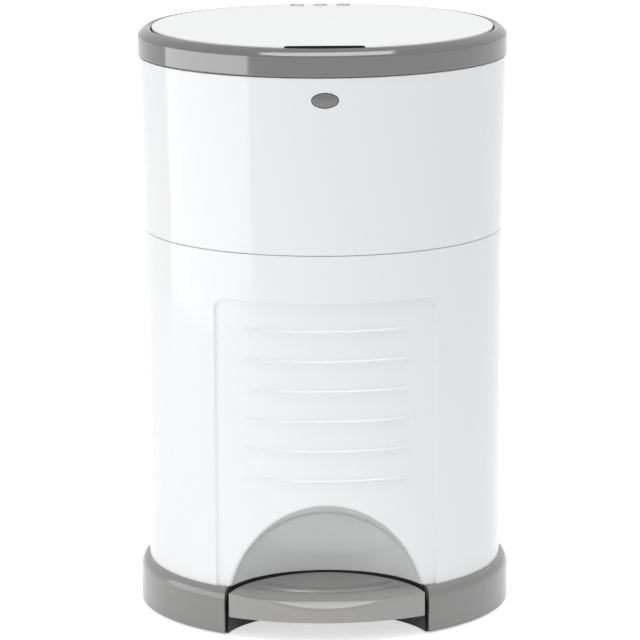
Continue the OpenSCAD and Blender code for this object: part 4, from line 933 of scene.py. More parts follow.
moulded_plastic("rim_grey", (0.078, 0.0764, 0.0736), (0.07, 0.0684, 0.0662), 0.09, 0.03,
                grain=(500.0, 60.0, 1.2), depth=0.000008, dust=0.02, specular=1.0, ior=1.7)
rim_r, rim_z, rim_crest_z, rim_lip_r = 140.0, 424.6, 445.1, 130.4
rim_profile = round_corners(
    [(rim_r, rim_z, 1.1), (rim_r, 439.9, 2.6), (137.4, 442.9, 7.0), (134.0, rim_crest_z, 1.8),
     (132.4, 444.9, 1.6), (131.5, 443.9, 0.6), (rim_lip_r, 443.7, 0.4), (rim_lip_r, 436.2, 0.4),
     (132.6, 436.2), (132.6, 440.6), (135.6, 439.2), (137.5, 436.6),
     (137.5, 428.5), (120.0, 428.5, 0.6), (120.0, 426.0, 0.6), (134.45, 426.0),
     (134.45, 417.0, 0.5), (136.35, 417.0, 0.5), (136.9, 423.0), (136.9, rim_z)], 0.3, 6)
finish_mesh("rim_band", *turned(rim_profile, 288), "upper_section", "rim_grey", ("rim_ring",))

# ---------------------------------------------------------------- base ring
# A light grey ABS ring clipped round the foot of the drum, with a rounded shoulder
# and a round cut in front where the pedal works.

moulded_plastic("base_grey", (0.205, 0.2, 0.195), (0.193, 0.19, 0.185), 0.14, 0.04,
                grain=(650.0, 60.0, 0.8), depth=0.000012, dust=0.12, specular=0.9)
base_r, base_foot_z, shoulder_z, base_in_r = 141.5, 1.5, 27.0, 135.3
cut_r, shoulder_w, shoulder_h = 80.0, 6.2, 9.0
shoulder = [(base_in_r + shoulder_w * math.cos(a), shoulder_z + shoulder_h * math.sin(a), 0)
            for a in np.linspace(0, math.pi / 2, 14)]
base_profile = round_corners(
    [(base_r, base_foot_z, 0.8)] + shoulder + [(128.3, 36.0, 0.5), (128.3, 33.0, 0.5),
     (132.3, 33.0), (138.5, 24.0), (138.5, base_foot_z)], 0.5)


def cut_angle(r):
    """Angle from the front at which the pedal's round cut crosses a radius."""
    return math.acos((r * r + well_centre_y ** 2 - cut_r ** 2) / (2 * r * -well_centre_y))


points, faces = turned(base_profile, 220, cut_angle)
finish_mesh("base_band", points, faces, "root", "base_grey", ("base_ring",))

# ---------------------------------------------------------------- pedal
# The pedal is a grey moulding shaped like a lens: dished from side to side,
# sloping at its front edge, with two fine grip ridges across its tread. Its skin is
# painted lighter than the base ring's grey, which is painted light on the tread.

pedal_front_r, pedal_back_r, pedal_low_z, axle_side_y = 143.0, 76.0, 15.5, -65.5
tread_z, tread_rise, slope_y, slope_tan = 35.0, 0.047, -136.0, math.tan(math.radians(38))
tip_from, tip_rise = 36.0, 0.0012
# The pedal's skin takes a lighter copy of the base ring's grey. This is painted light that
# brightens its tread, sloping front and sides, while the hidden neck and ribs keep the plain grey.
moulded_plastic("pedal_grey_painted_light", (0.285, 0.279, 0.271), (0.27, 0.264, 0.257), 0.14, 0.04,
                grain=(650.0, 60.0, 0.8), depth=0.000012, dust=0.06, specular=1.0)
ridges, ridge_half_w, ridge_h, ridge_fade = ((116.0, 58.0), (104.0, 49.0)), 1.4, 1.2, 4.0
tread_round, tip_round = 1.4, 2.4
edge_lines = (0, 0.08, 0.25, 0.55, 1.0, 1.6, 2.6)
ridge_lines = (-1.3, -1.02, -0.98, -0.23, -0.17, 0.17, 0.23, 0.98, 1.02, 1.3)
slope_lines = (-0.7, -0.35, 0, 0.35, 0.7)
clear_of_edge, clear_of_ridge, clear_of_slope, ridge_clear_of_edge = 3.5, 2.4, 1.5, 1.7


def tread_height(x, y):
    """Height of the pedal's tread before its edge is rounded."""
    z = tread_z + tread_rise * (y - axle_side_y)
    z = z + tip_rise * np.maximum(np.abs(x) - tip_from, 0) ** 2
    ahead = slope_y - y
    z = z - slope_tan * (ahead + np.sqrt(ahead * ahead + 0.25)) / 2
    for r, half_long in ridges:
        off = np.abs(np.hypot(x, y) - r) / ridge_half_w
        ends = ease(np.clip((half_long - np.abs(x)) / ridge_fade, 0, 1))
        z = z + ridge_h * ends * np.clip(1.25 * (1 - off), 0, 1)
    return z


def pedal_edge_distance(x, y):
    front = pedal_front_r - np.hypot(x, y)
    back = pedal_back_r - np.hypot(x, y - well_centre_y)
    return np.maximum(np.minimum(front, back), 0)


def pedal_top(x, y):
    return tread_height(x, y) - edge_drop(pedal_edge_distance(x, y), tread_round)


def lens_outline(inset):
    """The pedal's plan, moved inwards, with rounded tips; y runs forwards to -Y."""
    front, back = pedal_front_r - inset, pedal_back_r - inset
    y = (front ** 2 + well_centre_y ** 2 - back ** 2) / (2 * well_centre_y)
    x = math.sqrt(front ** 2 - y * y)
    a = math.degrees(math.atan2(x, -y))
    b = math.degrees(math.atan2(x, y - well_centre_y))
    near = arc((0, 0), front, 270 - a, 270 + a, 70)[1:-1]
    far = arc((0, well_centre_y), back, 90 - b, 90 + b, 60)[1:-1]
    corners = [(-x, y, max(tip_round - inset, 0.2))] + [(p, q, 0) for p, q in near]
    corners += [(x, y, max(tip_round - inset, 0.2))] + [(p, q, 0) for p, q in far]
    return round_corners(corners, 0, 6)


rim_loop = lens_outline(0)
paths = []
for inset in edge_lines:
    loop = lens_outline(inset)
    paths.append(loop + loop[:1])
for r, _ in ridges:
    for off in ridge_lines:
        ring = r + off * ridge_half_w
        line = [(ring * math.sin(a), -ring * math.cos(a)) for a in np.linspace(-0.75, 0.75, 90)]
        paths.append([p for p in line if pedal_edge_distance(*p) > ridge_clear_of_edge])
for y in slope_lines:
    paths.append([(x, slope_y + y) for x in np.linspace(-40, 40, 40)])
fill_x, fill_y = grid(np.linspace(-72, 72, 49), np.linspace(-142, -67, 30))
keep = pedal_edge_distance(fill_x, fill_y) > clear_of_edge
for r, _ in ridges:
    keep &= np.abs(np.hypot(fill_x, fill_y) - r) > clear_of_ridge
keep &= np.abs(fill_y - slope_y) > clear_of_slope
flat, triangles = triangulate(paths, list(zip(fill_x[keep], fill_y[keep])))
middle = flat[triangles].mean(1)
inside = (np.hypot(middle[:, 0], middle[:, 1]) < pedal_front_r) & (
    np.hypot(middle[:, 0], middle[:, 1] - well_centre_y) < pedal_back_r)
inside &= np.abs(middle[:, 0]) < max(p[0] for p in rim_loop)
triangles = triangles[inside]
x, y = flat[:, 0], flat[:, 1]
step = 0.01
slope_x = (pedal_top(x + step, y) - pedal_top(x - step, y)) / (2 * step)
slope_z = (pedal_top(x, y + step) - pedal_top(x, y - step)) / (2 * step)
tread_normals = np.stack([-slope_x, -slope_z, np.ones_like(x)], 1)
tread_normals /= np.linalg.norm(tread_normals, axis=1)[:, None]
tread = np.stack([x, y, pedal_top(x, y)], 1)
rim_index = [int(np.argmin(np.hypot(x - p, y - q))) for p, q in rim_loop]
side = flat[rim_index]
along = np.roll(side, -1, 0) - np.roll(side, 1, 0)
outward = np.stack([along[:, 1], -along[:, 0], 0 * along[:, 0]], 1)
outward /= np.linalg.norm(outward, axis=1)[:, None]
tread_normals[rim_index] = outward
pedal_wall, pedal_roof_z, foot_round = 3.0, 22.0, 0.8
points, normals, faces = [tread], [tread_normals], [tuple(t) for t in triangles]
ring_levels = [(0, tread[rim_index, 2].copy(), outward)]
for a in np.linspace(0, 1, 4) * math.pi / 2:
    ring_levels.append((foot_round * (1 - math.cos(a)),
                        pedal_low_z + foot_round * (1 - math.sin(a)),
                        outward * math.cos(a) + np.array([0, 0, -math.sin(a)])))
ring_levels.append((pedal_wall, pedal_low_z, 0 * outward + [0, 0, -1]))
ring_levels.append((pedal_wall, pedal_low_z, -outward))
ring_levels.append((pedal_wall, pedal_roof_z, -outward))
ring_levels.append((pedal_wall, pedal_roof_z, 0 * outward + [0, 0, -1]))
count, base = len(rim_loop), len(tread)
for level, (inset, z, lean) in enumerate(ring_levels):
    ring = side - outward[:, :2] * inset
    points.append(np.column_stack([ring, np.broadcast_to(z, count)]))
    normals.append(lean)
    if level:
        for k in range(count):
            m = (k + 1) % count
            low, high = base + level * count, base + (level - 1) * count
            faces.append((low + k, low + m, high + m, high + k))
faces.append(tuple(base + (len(ring_levels) - 1) * count + k for k in range(count))[::-1])
finish_mesh("pedal_tread", np.vstack(points), faces, "pedal_body", "pedal_grey_painted_light", ("pedal",),
            np.vstack(normals))

# The underside of the pedal: five ribs, and a solid neck that reaches through the
# well's wall to the hub on the axle.
neck_half, neck_front_y, neck_top_z, rib_t_under, rib_pitch_under = 31.0, -85.5, 29.4, 2.5, 21.0
axle_y, axle_z, hub_r = -40.0, 20.0, 6.0
hub_cut = math.degrees(math.asin((pedal_low_z - axle_z) / hub_r))
neck_outline = [(neck_front_y, pedal_low_z)] + arc((axle_y, axle_z), hub_r, hub_cut, 90, 14)
neck_outline += [(axle_y, neck_top_z), (neck_front_y, neck_top_z)]
parts = [bar_along_x(neck_outline, -neck_half, neck_half, 0.6)]
for k in range(-2, 3):
    x = k * rib_pitch_under
    y0 = -math.sqrt((pedal_front_r - 1.5) ** 2 - x * x)
    y1 = min(well_centre_y + math.sqrt((pedal_back_r - 1.5) ** 2 - x * x), -67)
    outline = [(y0, pedal_low_z + 0.3), (y1, pedal_low_z + 0.3), (y1, pedal_roof_z + 0.5),
               (y0, pedal_roof_z + 0.5)]
    parts.append(bar_along_x(outline, x - rib_t_under / 2, x + rib_t_under / 2, 0.2))
finish_mesh("pedal_neck_and_ribs", *joined(*parts), "pedal_body", "base_grey", ("pedal",))

# ---------------------------------------------------------------- lid
# The lid's cover is a flat white moulding with a turned-down edge and a finger
# notch in front. Its back edge leans away from the fixed hinge cover.

lid_top_z, lid_t, lid_edge_z, lid_r, lid_round = 446.0, 3.0, 439.5, 129.3, 1.0
notch_half, notch_y, notch_corner, lid_back_y = 29.5, -118.5, 7.0, 113.0
back_lean, crown = math.tan(math.radians(30)), 0.4


def crown_z(x, y):
    return lid_top_z - crown * (x * x + y * y) / lid_r ** 2


def lid_plan(inset, z):
    """The cover's outline at a height, moved inwards, with every corner rounded."""
    r, side = lid_r - inset, notch_half + inset
    back = lid_back_y - (lid_top_z - z) * back_lean - inset
    corner = max(1.3 - inset, 0.15)
    front_at = math.degrees(math.asin(side / r))
    back_at = math.degrees(math.acos(back / r))
    right = arc((0, 0), r, -90 + front_at, 90 - back_at, 110)
    left = [(-x, y) for x, y in right[::-1]]
    line = [(*right[0], corner)] + [(x, y, 0) for x, y in right[1:-1]] + [(*right[-1], corner)]
    line += [(x, right[-1][1], 0) for x in np.linspace(right[-1][0], left[0][0], 22)[1:-1]]
    line += [(*left[0], corner)] + [(x, y, 0) for x, y in left[1:-1]] + [(*left[-1], corner)]
    line += [(x, notch_y + inset, notch_corner + inset) for x in (-side, side)]
    return round_corners(line, 0, 7)


def at_back(x, y):
    """Whether a place is on the cover's leaning back edge, which has no turned-down rim."""
    return y > lid_back_y - 4 * back_lean - 3.6 and abs(x) < 66


cover_under_z = lid_top_z - lid_t
loops = [[(x, y, crown_z(x, y) - drop) for x, y in lid_plan(inset, lid_top_z - drop)]
         for inset, drop in quarter_round(lid_round, 7)]
depth = lid_top_z - lid_edge_z
for inset, drop in ((0, lid_t - 0.4), (0, depth - 0.4), (0.4, depth), (lid_t - 0.3, depth),
                    (lid_t, depth - 0.3), (lid_t, lid_t)):
    ring = []
    for x, y in lid_plan(inset, lid_top_z - min(drop, lid_t)):
        low = lid_t if at_back(x, y) else drop
        ring.append((x, y, lid_top_z - min(drop, low)))
    loops.append(ring)
points, faces = stacked(loops)
del faces[-2]       # the crowned top below takes the place of this flat one
top_loop = [(p[0], p[1]) for p in loops[0]]
fill_x, fill_y = grid(np.arange(-117, 118, 13.0), np.arange(-117, 118, 13.0))
keep = (np.hypot(fill_x, fill_y) < lid_r - 6) & (fill_y < lid_back_y - 5)
keep &= (np.abs(fill_x) > notch_half + 5) | (fill_y > notch_y + 5)
flat, triangles = triangulate([top_loop + top_loop[:1]], list(zip(fill_x[keep], fill_y[keep])))
middle = flat[triangles].mean(1)
near_loop = np.asarray(top_loop)
order = [int(np.argmin(np.hypot(near_loop[:, 0] - p, near_loop[:, 1] - q))) for p, q in flat]
gap = np.array([np.hypot(*(near_loop[k] - p)) for k, p in zip(order, flat)])
start = len(points)
index = [k if g < 1e-3 else start + n for n, (k, g) in enumerate(zip(order, gap))]
points += [(p, q, crown_z(p, q)) for p, q in flat]


def inside_loop(loop, spots):
    """Which spots lie inside a closed outline."""
    a, b = loop, np.roll(loop, -1, 0)
    x, y = spots[:, 0][:, None], spots[:, 1][:, None]
    crosses = (a[:, 1] > y) != (b[:, 1] > y)
    rise = np.where(a[:, 1] == b[:, 1], 1, b[:, 1] - a[:, 1])
    at = a[:, 0] + (y - a[:, 1]) / rise * (b[:, 0] - a[:, 0])
    return (crosses & (x < at)).sum(1) % 2 == 1


within = inside_loop(near_loop, middle)
faces += [tuple(index[i] for i in t) for t, keep_it in zip(triangles, within) if keep_it]
finish_mesh("lid_cover_plate", *only_used(points, faces), "lid", "white_gloss", ("lid_cover",))

# A thin black liner is set into the finger notch. Its black is painted shade: the dark of the
# notch's shaded wall.
moulded_plastic("black_plastic", (0.022, 0.022, 0.024), (0.03, 0.03, 0.031), 0.42, 0.08,
                grain=(1200.0, 80.0, 0.1), depth=0.00003, dust=0.02, specular=0.25)
liner_t, liner_low_z, liner_top_z = 0.5, 440.2, 445.2
sides_y, out = -126.6, 0.04
outer_wall = [(-notch_half + out, sides_y), (-notch_half + out, notch_y - out, notch_corner - out),
              (notch_half - out, notch_y - out, notch_corner - out), (notch_half - out, sides_y)]
inner_wall = [(notch_half - liner_t, sides_y),
              (notch_half - liner_t, notch_y - liner_t, notch_corner - liner_t),
              (liner_t - notch_half, notch_y - liner_t, notch_corner - liner_t),
              (liner_t - notch_half, sides_y)]
liner = round_corners(outer_wall, 0, 10, False) + round_corners(inner_wall, 0, 10, False)
finish_mesh("finger_notch_shade_sheet", *stacked([[(x, y, z) for x, y in liner]
                                            for z in (liner_low_z, liner_top_z)]),
            "lid", "black_plastic", ("lid_cover",))

# ---------------------------------------------------------------- hinge cover
# The fixed white strip behind the lid, with three slots for the lid's arms and
# ears below that carry the lid's pin.

cover_y, slot_back_y, arm_at, slot_half, skirt_low_z = 114.0, 127.0, 18.0, 5.0, 432.5
cover_round, corner_round, slot_round, skirt_t, skirt_gap = 0.6, 0.9, 1.2, 2.0, 0.02
ear_spans = ((5.5, 12.5), (23.5, 27.5))
skirt_spans = ((-60.4, -23.3), (-12.7, -5.3), (5.3, 12.7), (23.3, 60.4))


def cover_plan(inset):
    r = lid_r - inset
    side = math.degrees(math.asin((cover_y + inset) / r))
    back = arc((0, 0), r, side, 180 - side, 70)
    line = [(*back[0], corner_round)] + [(x, y, 0) for x, y in back[1:-1]]
    line.append((*back[-1], corner_round))
    for x in (-arm_at, 0.0, arm_at):
        left, right = x - slot_half - inset, x + slot_half + inset
        line += [(left, cover_y + inset, corner_round),
                 (left, slot_back_y + min(inset, 0.3), slot_round),
                 (right, slot_back_y + min(inset, 0.3), slot_round),
                 (right, cover_y + inset, corner_round)]
    return round_corners(line, 0, 5)


loops = [[(x, y, crown_z(x, y) - drop) for x, y in cover_plan(inset)]
         for inset, drop in quarter_round(cover_round, 5)]
loops += [[(x, y, cover_under_z) for x, y in cover_plan(0)]]
parts = [stacked(loops)]
low_lip, ear_y = cover_under_z + 0.5, (119.5, 128.0)
for x0, x1 in ear_spans:
    for side in (-1, 1):
        ends = sorted((side * x0, side * x1))
        top = min(ear_y[1], math.sqrt((lid_r - 0.3) ** 2 - x1 * x1))
        outline = [(ear_y[0], skirt_low_z), (top, skirt_low_z), (top, low_lip), (ear_y[0], low_lip)]
        parts.append(bar_along_x(round_corners(outline, 0.6), *ends, 0.3))
skirt = ((lid_r - skirt_gap, low_lip), (lid_r - skirt_gap, skirt_low_z + 0.4),
         (lid_r - 0.4, skirt_low_z), (lid_r - skirt_t, skirt_low_z), (lid_r - skirt_t, low_lip))
for x0, x1 in skirt_spans:
    a0, a1 = (math.acos(x / (lid_r - 1)) for x in (x1, x0))
    parts.append(stacked([[(r * math.cos(a), r * math.sin(a), z) for r, z in skirt]
                          for a in np.linspace(a0, a1, 20)]))
finish_mesh("hinge_cover_strip", *joined(*parts), "upper_section", "white_gloss",
            ("hinge_cover",))

# ---------------------------------------------------------------- release button
# An oval grey push button that follows the curve of the drum, with a flange behind
# the wall that keeps it in and a short stem on the latch.

button_proud, button_edge_r, pillow = 0.4, 0.9, 0.5
button_rim_y, button_back_y, stem_end_y = -133.05, -131.55, -127.9
stem_r, flange_grow = 2.5, 1.6


def on_button(x, z, sink):
    r = upper_taper(button_z + z) + button_proud - sink
    return (x, -math.sqrt(r * r - x * x), button_z + z)


loops = []
for s in (0.02, 0.2, 0.4, 0.6, 0.8, 0.92):
    loops.append([on_button(x * s, z * s, pillow * s ** 2) for x, z in oval_path(-button_edge_r)])
for inset, drop in quarter_round(button_edge_r, 7):
    loops.append([on_button(x, z, pillow + drop) for x, z in oval_path(-inset)])
for grow, y in ((0, button_rim_y), (flange_grow, button_rim_y), (flange_grow, button_back_y)):
    loops.append([(x, y, button_z + z) for x, z in oval_path(grow)])
ends = oval_path(0)
around = [math.atan2(z, x) for x, z in ends]
for y in (button_back_y, stem_end_y):
    loops.append([(stem_r * math.cos(a), y, button_z + stem_r * math.sin(a)) for a in around])
finish_mesh("button_cap", *stacked(loops), "button", "rim_grey", ("release_button",))

# ---------------------------------------------------------------- mechanism
# What the shells hide: plain white and grey mouldings inside, darker working parts,
# a black base pan, rubber, bright steel and the pale blue film.

moulded_plastic("inner_white", (0.77, 0.77, 0.765), (0.75, 0.75, 0.742), 0.24, 0.05,
                grain=(700.0, 60.0, 0.3), depth=0.00001, dust=0.12)
moulded_plastic("inner_grey", (0.45, 0.45, 0.445), (0.42, 0.42, 0.415), 0.34, 0.06,
                grain=(900.0, 60.0, 0.1), depth=0.00002, dust=0.12)
moulded_plastic("mechanism_grey", (0.29, 0.295, 0.3), (0.26, 0.265, 0.27), 0.38, 0.06,
                grain=(900.0, 60.0, 0.1), depth=0.00002, dust=0.15)
moulded_plastic("rubber", (0.03, 0.03, 0.031), (0.042, 0.041, 0.04), 0.72, 0.1,
                grain=(1500.0, 90.0, 0.1), depth=0.00004, dust=0.35, specular=0.3)


def scaled_place(tree, place, scale):
    """Coordinates that are stretched or squashed by a factor for each axis."""
    mapping = tree.nodes.new("ShaderNodeMapping")
    mapping.inputs["Scale"].default_value = scale
    tree.links.new(place, mapping.inputs["Vector"])
    return mapping.outputs[0]


def bright_steel():
    """Zinc-plated steel, drawn or turned: fine lines across it, dull spots and a little
    colour in the plating."""
    tree, shader = new_finish("steel")
    place = tree.nodes.new("ShaderNodeTexCoord").outputs["Object"]
    lines = noise_node(tree, 900.0, 3.0, 0.6, scaled_place(tree, place, (1.0, 12.0, 12.0)))
    spots = noise_node(tree, 160.0, 4.0, 0.6, place)
    rough = math_node(tree, "ADD", math_node(tree, "MULTIPLY", spots, 0.2), 0.16)
    dress(tree, shader, colour_mix(tree, spots, (0.62, 0.62, 0.61), (0.52, 0.53, 0.55)),
          rough, lines, 0.00001)
    shader.inputs["Metallic"].default_value = 1.0


def blue_film():
    """Folded polythene film: pale blue, milky, with fine creases."""
    tree, shader = new_finish("film")
    place = tree.nodes.new("ShaderNodeTexCoord").outputs["Object"]
    creases = noise_node(tree, 90.0, 4.0, 0.65, scaled_place(tree, place, (1.0, 1.0, 9.0)))
    rough = math_node(tree, "ADD", math_node(tree, "MULTIPLY", creases, 0.25), 0.2)
    dress(tree, shader, colour_mix(tree, creases, (0.66, 0.74, 0.80), (0.82, 0.87, 0.90)),
          rough, creases, 0.0004)


bright_steel()
blue_film()

# ---------------------------------------------------------------- screws and small parts
# Self-tapping screws with a pan head and a cross recess, zinc plated. The ones in
# the lid and the rim are put in from below; the lever is riveted to the pedal.


def part_tree(name, sockets):
    """An empty Geometry Nodes tree with its input sockets and one geometry output."""
    tree = bpy.data.node_groups.new(name, "GeometryNodeTree")
    tree.interface.new_socket("Geometry", in_out="INPUT", socket_type="NodeSocketGeometry")
    for label, kind, value in sockets:
        socket = tree.interface.new_socket(label, in_out="INPUT", socket_type="NodeSocket" + kind)
        if value is not None:
            socket.default_value = value
    tree.interface.new_socket("Geometry", in_out="OUTPUT", socket_type="NodeSocketGeometry")
    return tree, tree.nodes.new("NodeGroupInput").outputs


def put(tree, kind, settings=(), **values):
    """Adds a node. A value is a plain one, another node's output or a list of outputs.
    An underscore in its name stands for a space, and at0, at1 and at2 are sockets by
    their index."""
    node = tree.nodes.new(kind)
    for key, setting in dict(settings).items():
        setattr(node, key, setting)
    for key, value in values.items():
        by_index = key.startswith("at") and key[2:].isdigit()
        socket = node.inputs[int(key[2:]) if by_index else key.replace("_", " ")]
        for one in value if isinstance(value, list) else [value]:
            if isinstance(one, bpy.types.NodeSocket):
                tree.links.new(one, socket)
            else:
                socket.default_value = one
    return node


def close_tree(tree, shape, given):
    """Puts the shape on every point of the input, turned to its direction, and ends
    the tree in real geometry with its material."""
    turn = put(tree, "FunctionNodeAlignRotationToVector", {"axis": "Z"}, Vector=given["Direction"])
    copies = put(tree, "GeometryNodeInstanceOnPoints", Points=given["Geometry"],
                 Instance=shape, Rotation=turn.outputs[0])
    real = put(tree, "GeometryNodeRealizeInstances", Geometry=copies.outputs[0])
    done = put(tree, "GeometryNodeSetMaterial", Geometry=real.outputs[0],
               Material=given["Material"])
    end = tree.nodes.new("NodeGroupOutput")
    tree.links.new(done.outputs[0], end.inputs[0])


def share_of(tree, value, share):
    return put(tree, "ShaderNodeMath", {"operation": "MULTIPLY"}, at0=value, at1=share).outputs[0]


def raised(tree, mesh, height):
    up = put(tree, "ShaderNodeCombineXYZ", Z=height)
    return put(tree, "GeometryNodeTransform", Geometry=mesh, Translation=up.outputs[0]).outputs[0]


def pan_head_screw():
    """A cross-recessed screw that starts at its head's outer face and runs along +Z."""
    tree, given = part_tree("pan_head_screw", (
        ("Head Radius", "Float", 0.0035), ("Head Height", "Float", 0.0018),
        ("Shank Radius", "Float", 0.00175), ("Length", "Float", 0.012),
        ("Thread Pitch", "Float", 0.0012), ("Recess Width", "Float", 0.0009),
        ("Direction", "Vector", (0, 0, 1)), ("Material", "Material", None)))
    head_r, head_h, shank_r = given["Head Radius"], given["Head Height"], given["Shank Radius"]
    low = put(tree, "GeometryNodeMeshCone", Vertices=28, Radius_Top=head_r,
              Radius_Bottom=share_of(tree, head_r, 0.72), Depth=share_of(tree, head_h, 0.45))
    high = put(tree, "GeometryNodeMeshCylinder", Vertices=28, Radius=head_r,
               Depth=share_of(tree, head_h, 0.55))
    high_at = share_of(tree, head_h, 0.725)
    core = put(tree, "GeometryNodeMeshCone", Vertices=20,
               Radius_Top=share_of(tree, shank_r, 0.35),
               Radius_Bottom=share_of(tree, shank_r, 0.82), Depth=given["Length"])
    solid = put(tree, "GeometryNodeMeshBoolean", {"operation": "UNION", "solver": "EXACT"},
                Mesh_2=[low.outputs["Mesh"], raised(tree, high.outputs["Mesh"], high_at),
                        raised(tree, core.outputs["Mesh"], head_h)])
    wide = share_of(tree, head_r, 1.15)
    deep = share_of(tree, head_h, 0.9)
    slots = []
    for long_x in (True, False):
        size = put(tree, "ShaderNodeCombineXYZ", X=wide if long_x else given["Recess Width"],
                   Y=given["Recess Width"] if long_x else wide, Z=deep)
        slots.append(put(tree, "GeometryNodeMeshCube", Size=size.outputs[0]).outputs["Mesh"])
    cut = put(tree, "GeometryNodeMeshBoolean", {"operation": "DIFFERENCE", "solver": "EXACT"},
              Mesh_1=solid.outputs["Mesh"], Mesh_2=slots)
    turns = put(tree, "ShaderNodeMath", {"operation": "DIVIDE"}, at0=given["Length"],
                at1=given["Thread Pitch"])
    helix = put(tree, "GeometryNodeCurveSpiral", Resolution=16,
                Rotations=share_of(tree, turns.outputs[0], 0.8),
                Start_Radius=share_of(tree, shank_r, 0.86),
                End_Radius=share_of(tree, shank_r, 0.5),
                Height=share_of(tree, given["Length"], 0.8))
    ridge = put(tree, "GeometryNodeCurvePrimitiveCircle", {"mode": "RADIUS"}, Resolution=4,
                Radius=share_of(tree, shank_r, 0.14))
    thread = put(tree, "GeometryNodeCurveToMesh", Curve=helix.outputs[0],
                 Profile_Curve=ridge.outputs[0], Fill_Caps=True)
    start = put(tree, "ShaderNodeMath", {"operation": "MULTIPLY_ADD"}, at0=given["Length"],
                at1=0.1, at2=head_h)
    both = put(tree, "GeometryNodeJoinGeometry",
               Geometry=[cut.outputs["Mesh"], raised(tree, thread.outputs[0], start.outputs[0])])
    close_tree(tree, both.outputs[0], given)
    return tree


def domed_rivet():
    """A rivet with a low domed head that starts at the head and runs along +Z."""
    tree, given = part_tree("domed_rivet", (
        ("Head Radius", "Float", 0.005), ("Head Height", "Float", 0.0014),
        ("Shank Radius", "Float", 0.0025), ("Length", "Float", 0.012),
        ("Direction", "Vector", (0, 0, 1)), ("Material", "Material", None)))
    # Each ring of the dome: its two radii, its thickness and its middle, as shares.
    shares = ((0.55, 0.86, 0.3, 0.15), (0.86, 0.98, 0.35, 0.475), (0.98, 1.0, 0.35, 0.825))
    rings = []
    for low, high, thick, at in shares:
        ring = put(tree, "GeometryNodeMeshCone", Vertices=32,
                   Radius_Top=share_of(tree, given["Head Radius"], high),
                   Radius_Bottom=share_of(tree, given["Head Radius"], low),
                   Depth=share_of(tree, given["Head Height"], thick))
        rings.append(raised(tree, ring.outputs["Mesh"],
                            share_of(tree, given["Head Height"], at - thick / 2)))
    shank = put(tree, "GeometryNodeMeshCylinder", Vertices=24, Radius=given["Shank Radius"],
                Depth=given["Length"])
    middle = put(tree, "ShaderNodeMath", {"operation": "MULTIPLY_ADD"}, at0=given["Length"],
                 at1=0.5, at2=given["Head Height"])
    whole = put(tree, "GeometryNodeMeshBoolean", {"operation": "UNION", "solver": "EXACT"},
                Mesh_2=rings + [raised(tree, shank.outputs["Mesh"], middle.outputs[0])])
    close_tree(tree, whole.outputs["Mesh"], given)
    return tree


def wire_spring():
    """A coil of round wire that winds along +Z from each point."""
    tree, given = part_tree("wire_spring", (
        ("Coil Radius", "Float", 0.004), ("Wire Radius", "Float", 0.0003),
        ("Turns", "Float", 3.0), ("Height", "Float", 0.004),
        ("Direction", "Vector", (0, 0, 1)), ("Material", "Material", None)))
    coil = put(tree, "GeometryNodeCurveSpiral", Resolution=32, Rotations=given["Turns"],
               Start_Radius=given["Coil Radius"], End_Radius=given["Coil Radius"],
               Height=given["Height"])
    wire = put(tree, "GeometryNodeCurvePrimitiveCircle", {"mode": "RADIUS"}, Resolution=10,
               Radius=given["Wire Radius"])
    body = put(tree, "GeometryNodeCurveToMesh", Curve=coil.outputs[0],
               Profile_Curve=wire.outputs[0], Fill_Caps=True)
    close_tree(tree, body.outputs[0], given)
    return tree


def place_hardware(name, tree, spots, direction, sizes, body, stands_for):
    """Makes one mesh of the tree's shape at every spot, in millimetres, on one body."""
    holder = bpy.data.meshes.new(name + "_spots")
    holder.from_pydata([tuple(MM * c for c in spot) for spot in spots], [], [])
    carrier = bpy.data.objects.new(name + "_spots", holder)
    bpy.context.scene.collection.objects.link(carrier)
    modifier = carrier.modifiers.new("hardware", "NODES")
    modifier.node_group = tree
    values = {**{key: size * MM for key, size in sizes.items()}, "Direction": direction,
              "Material": finishes["steel"]}
    if "Turns" in values:
        values["Turns"] = sizes["Turns"]
    for item in tree.interface.items_tree:
        if item.in_out == "INPUT" and item.name in values:
            modifier[item.identifier] = values[item.name]
    seen = carrier.evaluated_get(bpy.context.evaluated_depsgraph_get())
    mesh = bpy.data.meshes.new_from_object(seen)
    carrier.modifiers.remove(modifier)
    bpy.data.objects.remove(carrier)
    mesh.polygons.foreach_set("use_smooth", [True] * len(mesh.polygons))
    mesh.set_sharp_from_angle(angle=hardware_sharp_angle)
    piece = bpy.data.objects.new(name, mesh)
    bpy.context.scene.collection.objects.link(piece)
    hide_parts(*stands_for)
    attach(piece, body)


def around_axis(radius, first, count, z):
    """Evenly spaced places on a circle round the bin's axis."""
    steps = (math.radians(first + 360 / count * k) for k in range(count))
    return [(radius * math.cos(a), radius * math.sin(a), z) for a in steps]


screw_tree, rivet_tree, spring_tree = pan_head_screw(), domed_rivet(), wire_spring()
rim_screw_at, lid_screw_at, tab_x, tab_heights = 124.75, 58.0, 13.5, (90.0, 240.0)
rod_back_y, yoke_head_z, rivet_x, rivet_y = 124.5, 375.938, 7.0, -75.5
up, rearward, down = (0, 0, 1), (0, 1, 0), (0, 0, -1)
tab_spots = [(side * tab_x, 127.2, z) for side in (-1, 1) for z in tab_heights]
for name, spots, way, length, body in (
        ("base_screws", around_axis(boss_at, 45, 4, 1.5), up, 12.7, "root"),
        ("channel_screws", tab_spots, rearward, 4.5, "root"),
        ("rim_screws", around_axis(rim_screw_at, 30, 6, 424.2), up, 5.5, "upper_section"),
        ("lid_screws", around_axis(lid_screw_at, 45, 4, 436.7), up, 4.5, "lid"),
        ("yoke_screw", [(0, rod_back_y, yoke_head_z)], down, 14.0, "upper_rod")):
    place_hardware(name + "_crossed", screw_tree, spots, way, {"Length": length}, body, (name,))
place_hardware("pedal_rivets", rivet_tree, [(side * rivet_x, rivet_y, 11.1) for side in (-1, 1)],
               up, {"Length": 11.0}, "pedal_body", ("lever_rivets",))

